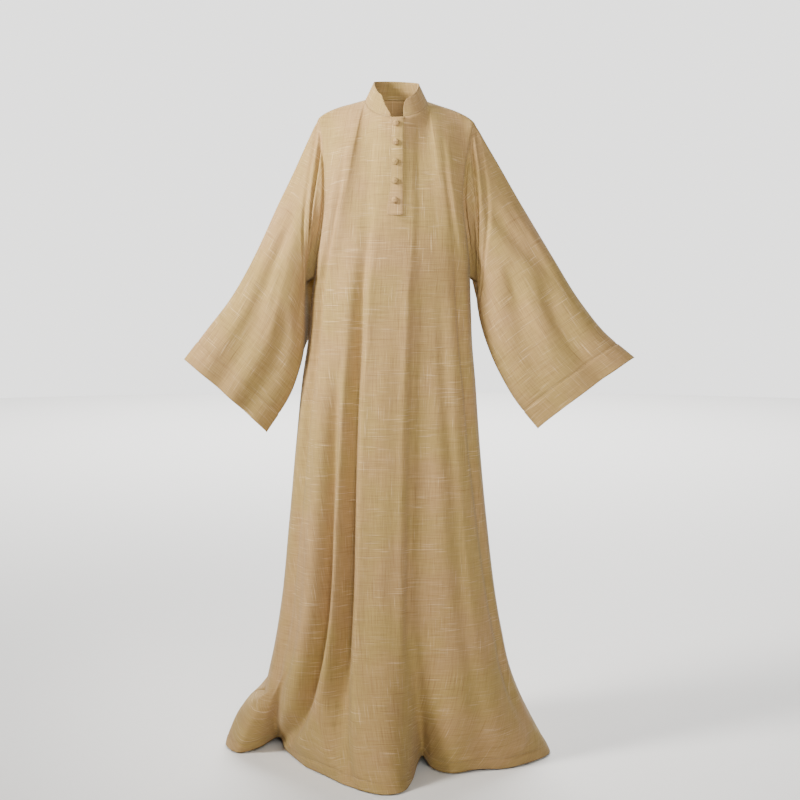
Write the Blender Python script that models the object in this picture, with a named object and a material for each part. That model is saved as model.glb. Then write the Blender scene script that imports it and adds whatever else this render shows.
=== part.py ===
import bpy
import numpy as np

# A long A-line abaya dress with bell sleeves, a stand collar and a half placket with covered buttons.
# Metres. X runs to the wearer's left, the front faces -Y and Z is up.
# The origin is the middle of the neck base, level with the shoulder line.

WALL = 0.002
COLLAR_WALL = 0.0026
SEAM_GAP = 0.0003
FLOOR = -1.46
HEM_CLEARANCE = 0.003
UNDERARM = -0.385

NECK_HALF_WIDTH = 0.068
NECK_FRONT = 0.074
NECK_BACK = 0.058
NECK_SIDE_HEIGHT = 0.004
NECK_FRONT_DROP = 0.041
NECK_BACK_RISE = 0.006
SHOULDER_TILT = 0.026

COLLAR_HEIGHT = 0.039
COLLAR_LEAN = 0.019
COLLAR_END_HEIGHT = 0.005
COLLAR_ROUND_END = 0.020
COLLAR_POINTED_END = 0.036
COLLAR_POINT_POWER = 0.85

ARMHOLE_ROWS = 10
SKIRT_ROWS = 24
SHOULDER_CELLS = 7
NECK_CELLS_EACH_SIDE = 8
BACK_NECK_CELLS = 12
SLEEVE_ROWS = 14
COLLAR_ROWS = 3
SLIT_ROWS = 5
PLACKET_ROWS = 6
SLIT_HALF_WIDTH = 0.0006
ROW_SPREAD = 0.94
CUFF_RISE_LEFT = 0.011
CUFF_RISE_RIGHT = 0.012

# Share of a fold's depth that rises in its banks, and how much wider the banks are than the trough.
BANK_RISE = 0.35
BANK_WIDTH = 2.2
# Rings are nearer a full oval when this is lower.
RING_POWER = 0.82
# Folds come in over this part of their run, and flatten out this near the side seams.
FOLD_ONSET = 0.2
FOLD_SIDE_MARGIN = 0.12

# How the cloth leaves the top line, as shares of the drop to the underarm: outwards and down, at the neck's
# middle, with what the shoulder seam adds and what its tip changes.
LEAVE_OUT = 0.30
LEAVE_OUT_SHOULDER = 0.52
LEAVE_OUT_TIP = 0.35
LEAVE_DOWN = 1.05
LEAVE_DOWN_SHOULDER = 0.55
LEAVE_DOWN_TIP = 0.30
SHOULDER_RIDGE = 0.003
# The armhole seams draw in the columns outside this place.
ARMHOLE_PULL = 0.35
# Shares of the armhole, from the shoulder down, over which the back's seam joins the sleeve's own line.
BACK_JOIN_START = 0.5
BACK_JOIN_RUN = 0.4
# The slope at the underarm row is measured over this share of the skirt.
SLOPE_STEP = 0.01
# Part of the sleeve's length over which the armhole's outline fades into the sleeve's own rings.
ARMHOLE_REACH = 0.60

# A sleeve ring is fuller above its middle by this share.
SLEEVE_FULLNESS = 0.15
SLEEVE_FOLD_ONSET = 0.18
SLEEVE_FOLD_END = 0.12
CUFF_RISE_START = 0.7
# Behind the underarm seam the cloth is tucked in towards the body: the turns where it moves sideways and
# back most, the spread of each in degrees, and the move back.
TUCK_SIDE_TURN = 218
TUCK_SIDE_SPREAD = 18
TUCK_BACK_TURN = 207
TUCK_BACK_SPREAD = 26
TUCK_BACK = 2.0

# Facing rims are cut along the same diagonal, the one that rises in this direction.
RIM_ORDER = np.array((0.31, 0.52, 0.79))
# At a sharp corner a wall or a gap is measured longer by no more than one over this.
CORNER_LIMIT = 0.5

BUTTON_RADIUS = 0.0072
BUTTON_HEIGHT = 0.0052
BUTTON_SIDES = 14
BUTTON_HEIGHTS = (-0.051, -0.092, -0.134, -0.175, -0.216)
# The placket's slope under a button is measured over this drop.
BUTTON_STEP = 0.01


def table(names, *rows):
    return dict(zip(names.split(), np.array(rows, dtype=float).T))


# The body ring at each height.
BODY = table(
    "height centre half_width front back",
    (-0.385, -0.0095, 0.1720, 0.113, 0.097),
    (-0.420, -0.0118, 0.1753, 0.112, 0.096),
    (-0.456, -0.0125, 0.1775, 0.112, 0.096),
    (-0.522, -0.0140, 0.1815, 0.113, 0.098),
    (-0.612, -0.0170, 0.1920, 0.118, 0.105),
    (-0.747, -0.0190, 0.2040, 0.130, 0.120),
    (-0.928, -0.0190, 0.2210, 0.146, 0.139),
    (-1.111, -0.0170, 0.2420, 0.164, 0.158),
    (-1.203, -0.0160, 0.2580, 0.175, 0.168),
    (-1.296, -0.0170, 0.2770, 0.188, 0.180),
    (-1.460, -0.0170, 0.3080, 0.212, 0.200),
)

# Shoulder seam from the neck to the tip of the shoulder.
SHOULDER = table(
    "along across back height",
    (0.0, 0.0680, 0.002, 0.004),
    (0.3, 0.0980, 0.003, -0.005),
    (0.6, 0.1300, 0.003, -0.015),
    (0.85, 0.1570, 0.002, -0.028),
    (1.0, 0.1705, 0.000, -0.0385),
)

# Armhole seam from the tip of the shoulder to the underarm.
ARMHOLE = table(
    "along height front back left right behind",
    (0.0, -0.0385, 0.000, 0.000, 0.1705, 0.1705, 0.1705),
    (0.2, -0.0930, 0.027, 0.025, 0.1610, 0.1585, 0.1590),
    (0.4, -0.1540, 0.048, 0.044, 0.1550, 0.1480, 0.1510),
    (0.6, -0.2220, 0.054, 0.049, 0.1550, 0.1450, 0.1500),
    (0.8, -0.2960, 0.042, 0.038, 0.1650, 0.1540, 0.1590),
    (0.92, -0.3490, 0.021, 0.019, 0.1750, 0.1600, 0.1670),
    (1.0, -0.3850, 0.000, 0.000, 0.1815, 0.1625, 0.1720),
)

# Lower edge of the front. Place runs from the left side seam (-1) to the right one (1).
FRONT_HEM = table(
    "place x forward lift flare_start power",
    (-1.00, -0.385, -0.100, 0.000, -1.32, 0.50),
    (-0.90, -0.393, -0.035, 0.000, -1.32, 0.50),
    (-0.80, -0.356, 0.026, 0.000, -1.30, 0.75),
    (-0.72, -0.313, 0.000, 0.004, -1.27, 1.10),
    (-0.65, -0.272, -0.045, 0.014, -1.24, 1.30),
    (-0.58, -0.252, 0.010, 0.004, -1.20, 1.60),
    (-0.50, -0.218, 0.088, 0.000, -1.12, 2.20),
    (-0.36, -0.158, 0.180, 0.000, -1.05, 2.40),
    (-0.22, -0.090, 0.266, 0.000, -1.05, 2.40),
    (-0.10, -0.024, 0.308, 0.000, -1.05, 2.40),
    (0.00, 0.020, 0.278, 0.000, -1.05, 2.40),
    (0.07, 0.037, 0.195, 0.000, -1.05, 2.40),
    (0.14, 0.056, 0.115, 0.022, -1.05, 2.40),
    (0.21, 0.078, 0.140, 0.004, -1.05, 2.40),
    (0.32, 0.120, 0.170, 0.000, -1.08, 2.60),
    (0.44, 0.172, 0.150, 0.002, -1.12, 2.80),
    (0.58, 0.237, 0.136, 0.000, -1.16, 3.00),
    (0.74, 0.302, 0.090, 0.000, -1.20, 2.80),
    (0.88, 0.347, 0.026, 0.000, -1.22, 2.40),
    (1.00, 0.345, -0.050, 0.000, -1.22, 2.20),
)

# Lower edge of the back, as seen from the front, left to right.
BACK_HEM = table(
    "place x forward lift flare_start power",
    (-1.00, -0.385, -0.100, 0.000, -1.32, 0.50),
    (-0.86, -0.352, -0.160, 0.000, -1.30, 0.70),
    (-0.70, -0.292, -0.175, 0.002, -1.20, 1.70),
    (-0.55, -0.232, -0.160, 0.006, -1.05, 2.40),
    (-0.38, -0.160, -0.238, 0.000, -1.05, 2.40),
    (-0.18, -0.072, -0.268, 0.000, -1.05, 2.40),
    (0.00, 0.006, -0.205, 0.006, -1.05, 2.40),
    (0.18, 0.080, -0.255, 0.000, -1.05, 2.40),
    (0.38, 0.165, -0.244, 0.000, -1.05, 2.40),
    (0.55, 0.222, -0.168, 0.006, -1.05, 2.40),
    (0.72, 0.280, -0.172, 0.000, -1.10, 2.60),
    (0.88, 0.330, -0.120, 0.000, -1.20, 2.40),
    (1.00, 0.345, -0.050, 0.000, -1.22, 2.20),
)

# Long vertical folds. Each runs from its top place to its hem place, and sinks (or rises, if negative)
# by its depth. Lean makes the left flank the steeper one when positive. Bend is 1 for an even drift, and
# higher when most of the drift comes near the hem.
FRONT_FOLDS = table(
    "top_place hem_place start width depth hem_depth lean bend",
    (-0.67, -0.76, -0.20, 0.058, 0.016, 0.010, 0.0, 1.0),
    (-0.390, -0.66, -0.50, 0.048, 0.008, 0.085, -0.2, 9.0),
    (-0.235, -0.25, -0.22, 0.054, 0.014, 0.078, -0.3, 1.0),
    (0.235, 0.12, -0.24, 0.130, 0.012, 0.030, 0.7, 1.0),
    (0.43, 0.48, -0.36, 0.060, 0.005, 0.008, 0.0, 1.0),
    (0.60, 0.84, -0.22, 0.058, 0.013, 0.010, 0.0, 1.0),
    (-0.05, -0.08, -0.45, 0.110, -0.008, -0.016, 0.0, 1.0),
    (-0.53, -0.64, -0.50, 0.060, -0.006, -0.014, 0.0, 6.0),
)

BACK_FOLDS = table(
    "top_place hem_place start width depth hem_depth lean bend",
    (-0.76, -0.72, -0.24, 0.066, 0.014, 0.020, 0.0, 1.0),
    (-0.46, -0.54, -0.34, 0.068, 0.015, 0.028, 0.2, 1.0),
    (-0.10, 0.00, -0.28, 0.072, 0.016, 0.030, -0.2, 1.0),
    (0.26, 0.22, -0.50, 0.062, 0.009, 0.012, 0.0, 1.0),
    (0.48, 0.54, -0.30, 0.068, 0.014, 0.028, 0.2, 1.0),
    (0.78, 0.74, -0.22, 0.066, 0.014, 0.018, 0.0, 1.0),
)

# Columns of the front panel: a stop at each place that a fold or the placket needs,
# and the cells from it to the next stop.
FRONT_LEFT_STOPS = table(
    "place cells",
    (-1.0, 5),
    (-0.67, 4),
    (-0.43, 3),
    (-0.265, 3),
    (-0.070, 1),
    (0.0, 0),
)
FRONT_RIGHT_STOPS = table(
    "place cells",
    (0.0, 1),
    (0.070, 2),
    (0.170, 5),
    (0.430, 3),
    (0.62, 5),
    (1.0, 0),
)

# Bell sleeves: the upper and lower edges as seen from the front, the depth of the tube and the tuck.
SLEEVE_LEFT = table(
    "along top_x top_z low_x low_z low_forward forward front back tuck",
    (0.00, 0.1705, -0.0385, 0.1815, -0.385, 0.000, 0.000, 0.054, 0.049, 0.000),
    (0.07, 0.1950, -0.0880, 0.2010, -0.397, 0.001, 0.002, 0.056, 0.051, 0.002),
    (0.15, 0.2220, -0.1480, 0.2045, -0.412, 0.003, 0.004, 0.059, 0.053, 0.007),
    (0.30, 0.2600, -0.2260, 0.2035, -0.437, 0.008, 0.008, 0.062, 0.056, 0.018),
    (0.45, 0.2950, -0.3000, 0.2015, -0.470, 0.014, 0.013, 0.062, 0.056, 0.026),
    (0.60, 0.3310, -0.3700, 0.2030, -0.518, 0.017, 0.018, 0.060, 0.055, 0.022),
    (0.75, 0.3710, -0.4360, 0.2140, -0.582, 0.012, 0.024, 0.057, 0.052, 0.004),
    (0.88, 0.4160, -0.4950, 0.2400, -0.650, 0.004, 0.028, 0.053, 0.048, 0.000),
    (1.00, 0.4690, -0.5640, 0.2890, -0.725, 0.000, 0.030, 0.046, 0.044, 0.000),
)
SLEEVE_RIGHT = table(
    "along top_x top_z low_x low_z low_forward forward front back tuck",
    (0.00, 0.1705, -0.0385, 0.1625, -0.385, 0.000, 0.000, 0.054, 0.049, 0.000),
    (0.07, 0.1990, -0.0880, 0.1790, -0.398, 0.001, 0.002, 0.056, 0.051, 0.002),
    (0.15, 0.2330, -0.1460, 0.1805, -0.415, 0.003, 0.004, 0.059, 0.053, 0.010),
    (0.30, 0.2800, -0.2280, 0.1810, -0.442, 0.006, 0.008, 0.062, 0.056, 0.014),
    (0.45, 0.3230, -0.3040, 0.1865, -0.480, 0.008, 0.013, 0.062, 0.056, 0.003),
    (0.60, 0.3670, -0.3760, 0.2005, -0.528, 0.008, 0.018, 0.060, 0.055, 0.000),
    (0.75, 0.4120, -0.4440, 0.2260, -0.588, 0.004, 0.024, 0.057, 0.052, 0.000),
    (0.88, 0.4610, -0.5050, 0.2650, -0.655, 0.002, 0.028, 0.053, 0.048, 0.000),
    (1.00, 0.5260, -0.5600, 0.3150, -0.717, 0.000, 0.030, 0.046, 0.044, 0.000),
)

# Folds along a sleeve: turn is the angle round the tube in degrees, 0 on top and 90 at the front.
SLEEVE_LEFT_FOLDS = table(
    "start_turn end_turn start end width depth",
    (54, 82, 0.18, 1.00, 15, 0.015),
    (112, 120, 0.50, 1.00, 15, 0.012),
    (146, 140, 0.05, 0.60, 15, 0.009),
    (252, 262, 0.30, 1.00, 17, 0.014),
    (306, 292, 0.12, 0.80, 16, 0.010),
)
SLEEVE_RIGHT_FOLDS = table(
    "start_turn end_turn start end width depth",
    (70, 40, 0.10, 0.55, 15, 0.011),
    (54, 72, 0.48, 1.00, 15, 0.014),
    (84, 120, 0.34, 0.92, 15, 0.013),
    (146, 140, 0.05, 0.50, 15, 0.009),
    (246, 256, 0.28, 1.00, 17, 0.014),
    (304, 292, 0.12, 0.80, 16, 0.010),
)

CLOTH_COLOUR = (0.52, 0.41, 0.26, 1.0)
BUTTON_COLOUR = (0.50, 0.39, 0.24, 1.0)
CLOTH_ROUGHNESS = 0.9
BUTTON_ROUGHNESS = 0.85


def through(keys, values, at):
    # Smooth curve through the rows of a table.
    gaps = np.diff(keys)
    slopes = np.diff(values) / gaps
    inner = (slopes[:-1] * gaps[1:] + slopes[1:] * gaps[:-1]) / (gaps[:-1] + gaps[1:])
    tangents = np.concatenate((slopes[:1], inner, slopes[-1:]))
    low = np.clip(np.searchsorted(keys, at) - 1, 0, len(gaps) - 1)
    t = np.clip((at - keys[low]) / gaps[low], 0.0, 1.0)
    rise = values[low + 1] - values[low]
    return (
        values[low]
        + rise * t * t * (3 - 2 * t)
        + gaps[low] * (tangents[low] * t * (1 - t) ** 2 - tangents[low + 1] * t * t * (1 - t))
    )


def ease(t):
    t = np.clip(t, 0.0, 1.0)
    return t * t * (3 - 2 * t)


def trough(away):
    # Cross-section of a fold: a soft trough with a low bank on each side.
    return np.exp(-away ** 2) - BANK_RISE * np.exp(-(away / BANK_WIDTH) ** 2)


def stops(rows):
    # Even steps between the stops.
    places = [rows["place"][:1]]
    for start, end, cells in zip(rows["place"][:-1], rows["place"][1:], rows["cells"][:-1]):
        places.append(np.linspace(start, end, int(cells) + 1)[1:])
    return np.concatenate(places)


def body_section(face, place, height):
    # A point of the ring at one height: half an ellipse with a flattened front, pushed in by the folds.
    down = -height
    keys = ("centre", "half_width", face)
    centre, half, depth = (through(-BODY["height"], BODY[key], down) for key in keys)
    sign = -1.0 if face == "front" else 1.0
    angle = place * np.pi / 2
    across = np.sin(angle)
    deep = np.clip(np.cos(angle), 0.0, 1.0)
    out_x = across / half
    out_y = deep / depth
    size = np.hypot(out_x, out_y)
    folds = FRONT_FOLDS if face == "front" else BACK_FOLDS
    push = fold_push(folds, place, height)
    x = centre + half * across + push * out_x / size
    y = sign * (depth * deep ** RING_POWER + push * out_y / size)
    return x, y


def fold_push(folds, place, height):
    # Each fold is a trough with soft banks, drifting from its top place to its hem place.
    push = 0.0
    for top, end, start, width, depth, hem_depth, lean, bend in zip(*folds.values()):
        fall = np.clip((start - height) / (start - FLOOR), 0.0, 1.0)
        middle = top + (end - top) * fall ** bend
        away = (place - middle) / width
        away = away / (1 + lean * np.tanh(2 * away))
        strength = ease(fall / FOLD_ONSET) * (depth + (hem_depth - depth) * fall)
        push = push - strength * trough(away)
    side = ease((1 - np.abs(place)) / FOLD_SIDE_MARGIN)
    return push * side


def skirt(face, place, along):
    # Below the underarm: the ring at each height, blended near the floor into the drawn lower edge.
    hem = FRONT_HEM if face == "front" else BACK_HEM
    keys = ("x", "forward", "lift", "flare_start", "power")
    hem_x, hem_forward, hem_lift, start, power = (through(hem["place"], hem[key], place) for key in keys)
    end = FLOOR + HEM_CLEARANCE + hem_lift
    height = UNDERARM + (end - UNDERARM) * along
    x, y = body_section(face, place, height)
    blend = np.clip((start - height) / (start - end), 0.0, 1.0) ** power
    x = x + (hem_x - x) * blend
    y = y + (-hem_forward - y) * blend
    return np.stack((x, y, height), axis=-1)


def neckline(face, turn):
    # Turn runs from the left shoulder (-1) through the front or back centre (0) to the right one (1).
    angle = turn * np.pi / 2
    deep = np.clip(np.cos(angle), 0.0, 1.0)
    x = NECK_HALF_WIDTH * np.sin(angle)
    side_y = SHOULDER["back"][0]
    if face == "front":
        y = side_y - (NECK_FRONT + side_y) * deep
        z = NECK_SIDE_HEIGHT - NECK_FRONT_DROP * deep
    else:
        y = side_y + (NECK_BACK - side_y) * deep
        z = NECK_SIDE_HEIGHT + NECK_BACK_RISE * deep
    return np.stack((x, y, z), -1)


def shoulder_seam(side, along):
    x, y, z = (through(SHOULDER["along"], SHOULDER[key], along) for key in ("across", "back", "height"))
    return np.stack((side * x, y, z), -1)


def armhole_seam(side, face, along):
    edge = "left" if side < 0 else "right"
    keys = (edge, "behind", face, "height")
    x, behind, y, z = (through(ARMHOLE["along"], ARMHOLE[key], along) for key in keys)
    if face == "back":
        x = behind + (x - behind) * ease((along - BACK_JOIN_START) / BACK_JOIN_RUN)
    sign = -1.0 if face == "front" else 1.0
    return np.stack((side * x, sign * y, z), -1)


def tilt(points, strength):
    # The shoulders slope a little down to the wearer's left.
    lowered = points.copy()
    lowered[..., 2] -= SHOULDER_TILT * points[..., 0] * strength
    return lowered


def bodice(face, places, top):
    # Above the underarm: a curve down each column, from the shoulder seam or neckline to the first ring,
    # drawn to the armhole seam at both sides.
    sign = -1.0 if face == "front" else 1.0
    along = np.linspace(0.0, 1.0, ARMHOLE_ROWS + 1)
    t = along[:, None, None]
    foot = skirt(face, places, np.zeros_like(places))
    lower = skirt(face, places, np.full_like(places, SLOPE_STEP))
    drop = top[:, 2] - UNDERARM
    leave = (lower - foot) / (foot[:, 2] - lower[:, 2])[:, None] * drop[:, None]
    flat = 1 - np.clip(sign * (top[:, 1] - SHOULDER_RIDGE) / NECK_BACK, 0.0, 1.0)
    tip = ease((np.abs(top[:, 0]) - NECK_HALF_WIDTH) / (SHOULDER["across"][-1] - NECK_HALF_WIDTH))
    away = (LEAVE_OUT + LEAVE_OUT_SHOULDER * flat) * (1 - LEAVE_OUT_TIP * tip) * drop
    fall = (LEAVE_DOWN - LEAVE_DOWN_SHOULDER * flat + LEAVE_DOWN_TIP * tip) * drop
    start = np.stack((foot[:, 0] - top[:, 0], sign * away, -fall), -1)
    curve = (
        top * (1 + 2 * t) * (1 - t) ** 2
        + foot * t * t * (3 - 2 * t)
        + start * t * (1 - t) ** 2
        - leave * t * t * (1 - t)
    )
    for side, column in ((-1, 0), (1, -1)):
        seam = armhole_seam(side, face, along)
        reach = ease((side * places - ARMHOLE_PULL) / (1 - ARMHOLE_PULL))[None, :, None]
        curve = curve + (seam - curve[:, column])[:, None, :] * reach
    return tilt(curve, (1 - t)[..., 0])


def panel(face, places, top):
    # Rows down the whole piece, a little closer together under the arms than at the hem.
    along = (np.arange(1, SKIRT_ROWS + 1) / SKIRT_ROWS) ** ROW_SPREAD
    along, across = np.meshgrid(along, places, indexing="ij")
    return np.concatenate((bodice(face, places, top), skirt(face, across, along)))


def front_columns():
    left, right = stops(FRONT_LEFT_STOPS), stops(FRONT_RIGHT_STOPS)
    seam = np.linspace(1.0, 0.0, SHOULDER_CELLS + 1)
    neck_left = np.append(np.linspace(-1.0, -0.12, NECK_CELLS_EACH_SIDE + 1), 0.0)[1:]
    neck_right = np.append(0.0, np.linspace(0.15, 1.0, NECK_CELLS_EACH_SIDE + 1))[:-1]
    top_left = np.concatenate((shoulder_seam(-1, seam), neckline("front", neck_left)))
    top_right = np.concatenate((neckline("front", neck_right), shoulder_seam(1, seam[::-1])))
    return left, top_left, right, top_right


def back_columns():
    cells = 2 * SHOULDER_CELLS + BACK_NECK_CELLS
    places = np.linspace(-1.0, 1.0, cells + 1)
    seam = np.linspace(1.0, 0.0, SHOULDER_CELLS + 1)
    neck = np.linspace(-1.0, 1.0, BACK_NECK_CELLS + 1)[1:-1]
    top = np.concatenate((shoulder_seam(-1, seam), neckline("back", neck), shoulder_seam(1, seam[::-1])))
    return places, top


def sleeve(side, rows, folds, cuff_rise):
    # Rings from the armhole to the cuff. A ring runs from the top over the front to the underarm and back.
    # Its lower edge is drawn forward, less on the back half, and tucked in behind the seam.
    turn = np.linspace(0.0, 2 * np.pi, 2 * ARMHOLE_ROWS + 1)[:-1]
    along = np.linspace(0.0, 1.0, SLEEVE_ROWS + 1)[:, None]
    keys = ("top_x", "top_z", "low_x", "low_z", "low_forward", "forward", "front", "back", "tuck")
    top_x, top_z, low_x, low_z, low_forward, forward, front, back, tuck = (
        through(rows["along"], rows[key], along) for key in keys
    )
    down = (1 - np.cos(turn)) / 2
    depth = np.where(turn < np.pi, front, back) * np.sin(turn) * (1 + SLEEVE_FULLNESS * np.cos(turn))
    degrees = np.degrees(turn)
    push = np.zeros(depth.shape)
    for start_turn, end_turn, start, end, width, fold_depth in zip(*folds.values()):
        gone = np.clip((along - start) / (end - start), 0.0, 1.0)
        middle = start_turn + (end_turn - start_turn) * gone
        away = (degrees - middle) / width
        strength = ease((along - start) / SLEEVE_FOLD_ONSET) * fold_depth
        if end < 1.0:
            strength = strength * (1 - ease((along - end + SLEEVE_FOLD_END) / (2 * SLEEVE_FOLD_END)))
        push = push - strength * trough(away)
    across_x, across_z = top_x - low_x, top_z - low_z
    reach = np.hypot(across_x, across_z)
    ring_x = top_x + (low_x - top_x) * down + push * np.cos(turn) * across_x / reach
    ring_z = top_z + (low_z - top_z) * down + push * np.cos(turn) * across_z / reach
    behind = np.clip(-np.sin(turn), 0.0, 1.0)
    ring_y = -forward - low_forward * down ** 3 * (1 - behind) - depth - push * np.sin(turn)
    rise = ease((along - CUFF_RISE_START) / (1 - CUFF_RISE_START))
    ring_z = ring_z + rise * cuff_rise * np.clip(np.sin(turn), 0.0, 1.0)
    ring_x = ring_x - tuck * np.exp(-((degrees - TUCK_SIDE_TURN) / TUCK_SIDE_SPREAD) ** 2)
    ring_y = ring_y + TUCK_BACK * tuck * np.exp(-((degrees - TUCK_BACK_TURN) / TUCK_BACK_SPREAD) ** 2)
    ring = np.stack((side * ring_x, ring_y, ring_z), -1)
    seam_along = np.linspace(0.0, 1.0, ARMHOLE_ROWS + 1)
    front_seam = tilt(armhole_seam(side, "front", seam_along), 1 - seam_along)
    back_seam = tilt(armhole_seam(side, "back", seam_along), 1 - seam_along)
    seam = np.concatenate((front_seam, back_seam[-2:0:-1]))
    keep = (1 - ease(along / ARMHOLE_REACH))[..., None]
    return ring + (seam - ring[0]) * keep


def collar(front_left, front_right, back):
    # The band stands on the neckline, leans in and falls away to its rounded front ends.
    foot = np.concatenate((front_right, back[::-1][1:-1], front_left))
    steps = np.linalg.norm(np.diff(foot, axis=0), axis=1)
    run = np.concatenate(([0.0], np.cumsum(steps)))
    from_right, from_left = run, run[-1] - run
    right_end = np.sqrt(1 - (1 - np.clip(from_right / COLLAR_ROUND_END, 0.0, 1.0)) ** 2)
    left_end = np.clip(from_left / COLLAR_POINTED_END, 0.0, 1.0) ** COLLAR_POINT_POWER
    height = COLLAR_END_HEIGHT + (COLLAR_HEIGHT - COLLAR_END_HEIGHT) * np.minimum(right_end, left_end)
    rise = np.linspace(0.0, 1.0, COLLAR_ROWS + 1)[:, None, None]
    flat = foot * (1.0, 1.0, 0.0)
    inward = -flat / np.linalg.norm(flat, axis=1)[:, None]
    lean = inward * COLLAR_LEAN + np.array((0.0, 0.0, COLLAR_HEIGHT))
    return foot + lean * rise * (height / COLLAR_HEIGHT)[:, None]


def grid_faces(rows, columns, closed=False, flip=False):
    # Two triangles in each cell, facing the front when the rows run down and the columns to the right.
    i, j = np.meshgrid(np.arange(rows - 1), np.arange(columns if closed else columns - 1), indexing="ij")
    near = (i * columns + j).ravel()
    side = (i * columns + (j + 1) % columns).ravel()
    below, far = near + columns, side + columns
    faces = np.concatenate((np.stack((near, below, side), -1), np.stack((side, below, far), -1)))
    return faces[:, ::-1] if flip else faces


class Cloth:
    # One cut piece: its outer points, its triangles and its thickness.
    def __init__(self, name, points, faces, wall):
        self.name, self.wall = name, wall
        # Points in one spot are joined, and the triangles that this leaves without a width are dropped.
        self.points, index = np.unique(np.round(points, 7), axis=0, return_inverse=True)
        faces = index.ravel()[faces]
        self.faces = faces[np.all(faces != np.roll(faces, 1, axis=1), axis=1)]

    def corner_normals(self, corner):
        # The normal of each triangle, weighted by its angle at that corner.
        here, left, right = (self.points[self.faces[:, (corner + k) % 3]] for k in range(3))
        normal = np.cross(left - here, right - here)
        size = np.linalg.norm(normal, axis=1)
        angle = np.arctan2(size, np.sum((left - here) * (right - here), axis=1))
        return normal * (angle / size)[:, None]


def share_normals(groups):
    # Pieces that meet at a seam take the same normal there, halfway between them, so their edges lie face
    # to face. Where they meet at a sharp angle the wall is measured longer along that normal.
    pieces = [piece for group in groups for piece in group]
    points = np.concatenate([piece.points for piece in pieces])
    keys, index = np.unique(np.round(points, 6), axis=0, return_inverse=True)
    index = index.ravel()
    start = 0
    sums = []
    for group in groups:
        total = np.zeros((len(keys), 3))
        for piece in group:
            for corner in range(3):
                np.add.at(total, index[start + piece.faces[:, corner]], piece.corner_normals(corner))
            start += len(piece.points)
        length = np.linalg.norm(total, axis=1)[:, None]
        sums.append(total / np.where(length > 0, length, 1.0))
    shared = sum(sums)
    shared /= np.linalg.norm(shared, axis=1)[:, None]
    facing = [np.where(np.any(part != 0, axis=1), np.sum(part * shared, axis=1), 1.0) for part in sums]
    mitre = 1 / np.clip(np.min(facing, axis=0), CORNER_LIMIT, 1.0)
    start = 0
    for piece in pieces:
        own = index[start:start + len(piece.points)]
        piece.normals, piece.mitre = shared[own], mitre[own]
        start += len(piece.points)


def open_edges(faces):
    edges = np.concatenate((faces[:, [0, 1]], faces[:, [1, 2]], faces[:, [2, 0]]))
    back = {(b, a) for a, b in edges.tolist()}
    return np.array([edge for edge in edges.tolist() if tuple(edge) not in back])


def thicken(piece, gap):
    # Move the open edges in by half the seam gap, then add the inner face and the rims.
    edges = open_edges(piece.faces)
    points, normals = piece.points.copy(), piece.normals
    inward = np.zeros_like(points)
    for a, b in edges:
        along = points[b] - points[a]
        for end in (a, b):
            across = np.cross(normals[end], along)
            inward[end] += across / np.linalg.norm(across)
    rim = np.unique(edges)
    length = np.linalg.norm(inward[rim], axis=1)[:, None]
    points[rim] += inward[rim] / length * gap / 2 / np.clip(length / 2, CORNER_LIMIT, 1.0)
    inner = points - normals * (piece.wall * piece.mitre)[:, None]
    count = len(points)
    a, b = edges[:, 0], edges[:, 1]
    order = piece.points @ RIM_ORDER
    first = (order[a] < order[b])[:, None]
    near = np.where(first, np.stack((b, a, a + count), -1), np.stack((b, a, b + count), -1))
    far = np.where(first, np.stack((b, a + count, b + count), -1), np.stack((a, a + count, b + count), -1))
    rims = np.concatenate((near, far))
    faces = np.concatenate((piece.faces, piece.faces[:, ::-1] + count, rims))
    return np.concatenate((points, inner)), faces


def make_material(name, colour, roughness):
    material = bpy.data.materials.new(name)
    material.use_nodes = True
    shader = material.node_tree.nodes["Principled BSDF"]
    shader.inputs["Base Color"].default_value = colour
    shader.inputs["Roughness"].default_value = roughness
    return material


def add_object(name, points, faces, colour, roughness):
    mesh = bpy.data.meshes.new(name)
    mesh.from_pydata(points.tolist(), [], faces.tolist())
    mesh.update()
    mesh.shade_smooth()
    mesh.materials.append(make_material(name + "_cloth", colour, roughness))
    node = bpy.data.objects.new(name, mesh)
    bpy.context.scene.collection.objects.link(node)
    return node


def button(name, centre, normal):
    # A domed, cloth-covered button: rings from the flat back to the crown.
    profile = table(
        "radius height",
        (0.78, 0.0),
        (1.00, 0.24),
        (0.93, 0.56),
        (0.66, 0.84),
        (0.34, 0.96),
    )
    up = np.array((0.0, 0.0, 1.0))
    right = np.cross(up, -normal)
    right /= np.linalg.norm(right)
    up = np.cross(-normal, right)
    turn = np.linspace(0.0, 2 * np.pi, BUTTON_SIDES, endpoint=False)
    circle = np.cos(turn)[:, None] * right + np.sin(turn)[:, None] * up
    radius = profile["radius"][:, None, None] * BUTTON_RADIUS
    height = profile["height"][:, None, None] * BUTTON_HEIGHT
    rings = centre + circle * radius + normal * height
    points = np.concatenate((rings.reshape(-1, 3), [centre, centre + normal * BUTTON_HEIGHT]))
    body = grid_faces(len(profile["radius"]), BUTTON_SIDES, closed=True)
    near = np.arange(BUTTON_SIDES)
    after = (near + 1) % BUTTON_SIDES
    crown = (len(profile["radius"]) - 1) * BUTTON_SIDES
    base = np.stack((np.full_like(near, len(points) - 2), near, after), -1)
    cap = np.stack((np.full_like(near, len(points) - 1), after + crown, near + crown), -1)
    faces = np.concatenate((body, base, cap))
    return add_object(name, points, faces, BUTTON_COLOUR, BUTTON_ROUGHNESS)


for old in list(bpy.data.objects):
    bpy.data.objects.remove(old, do_unlink=True)

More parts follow.
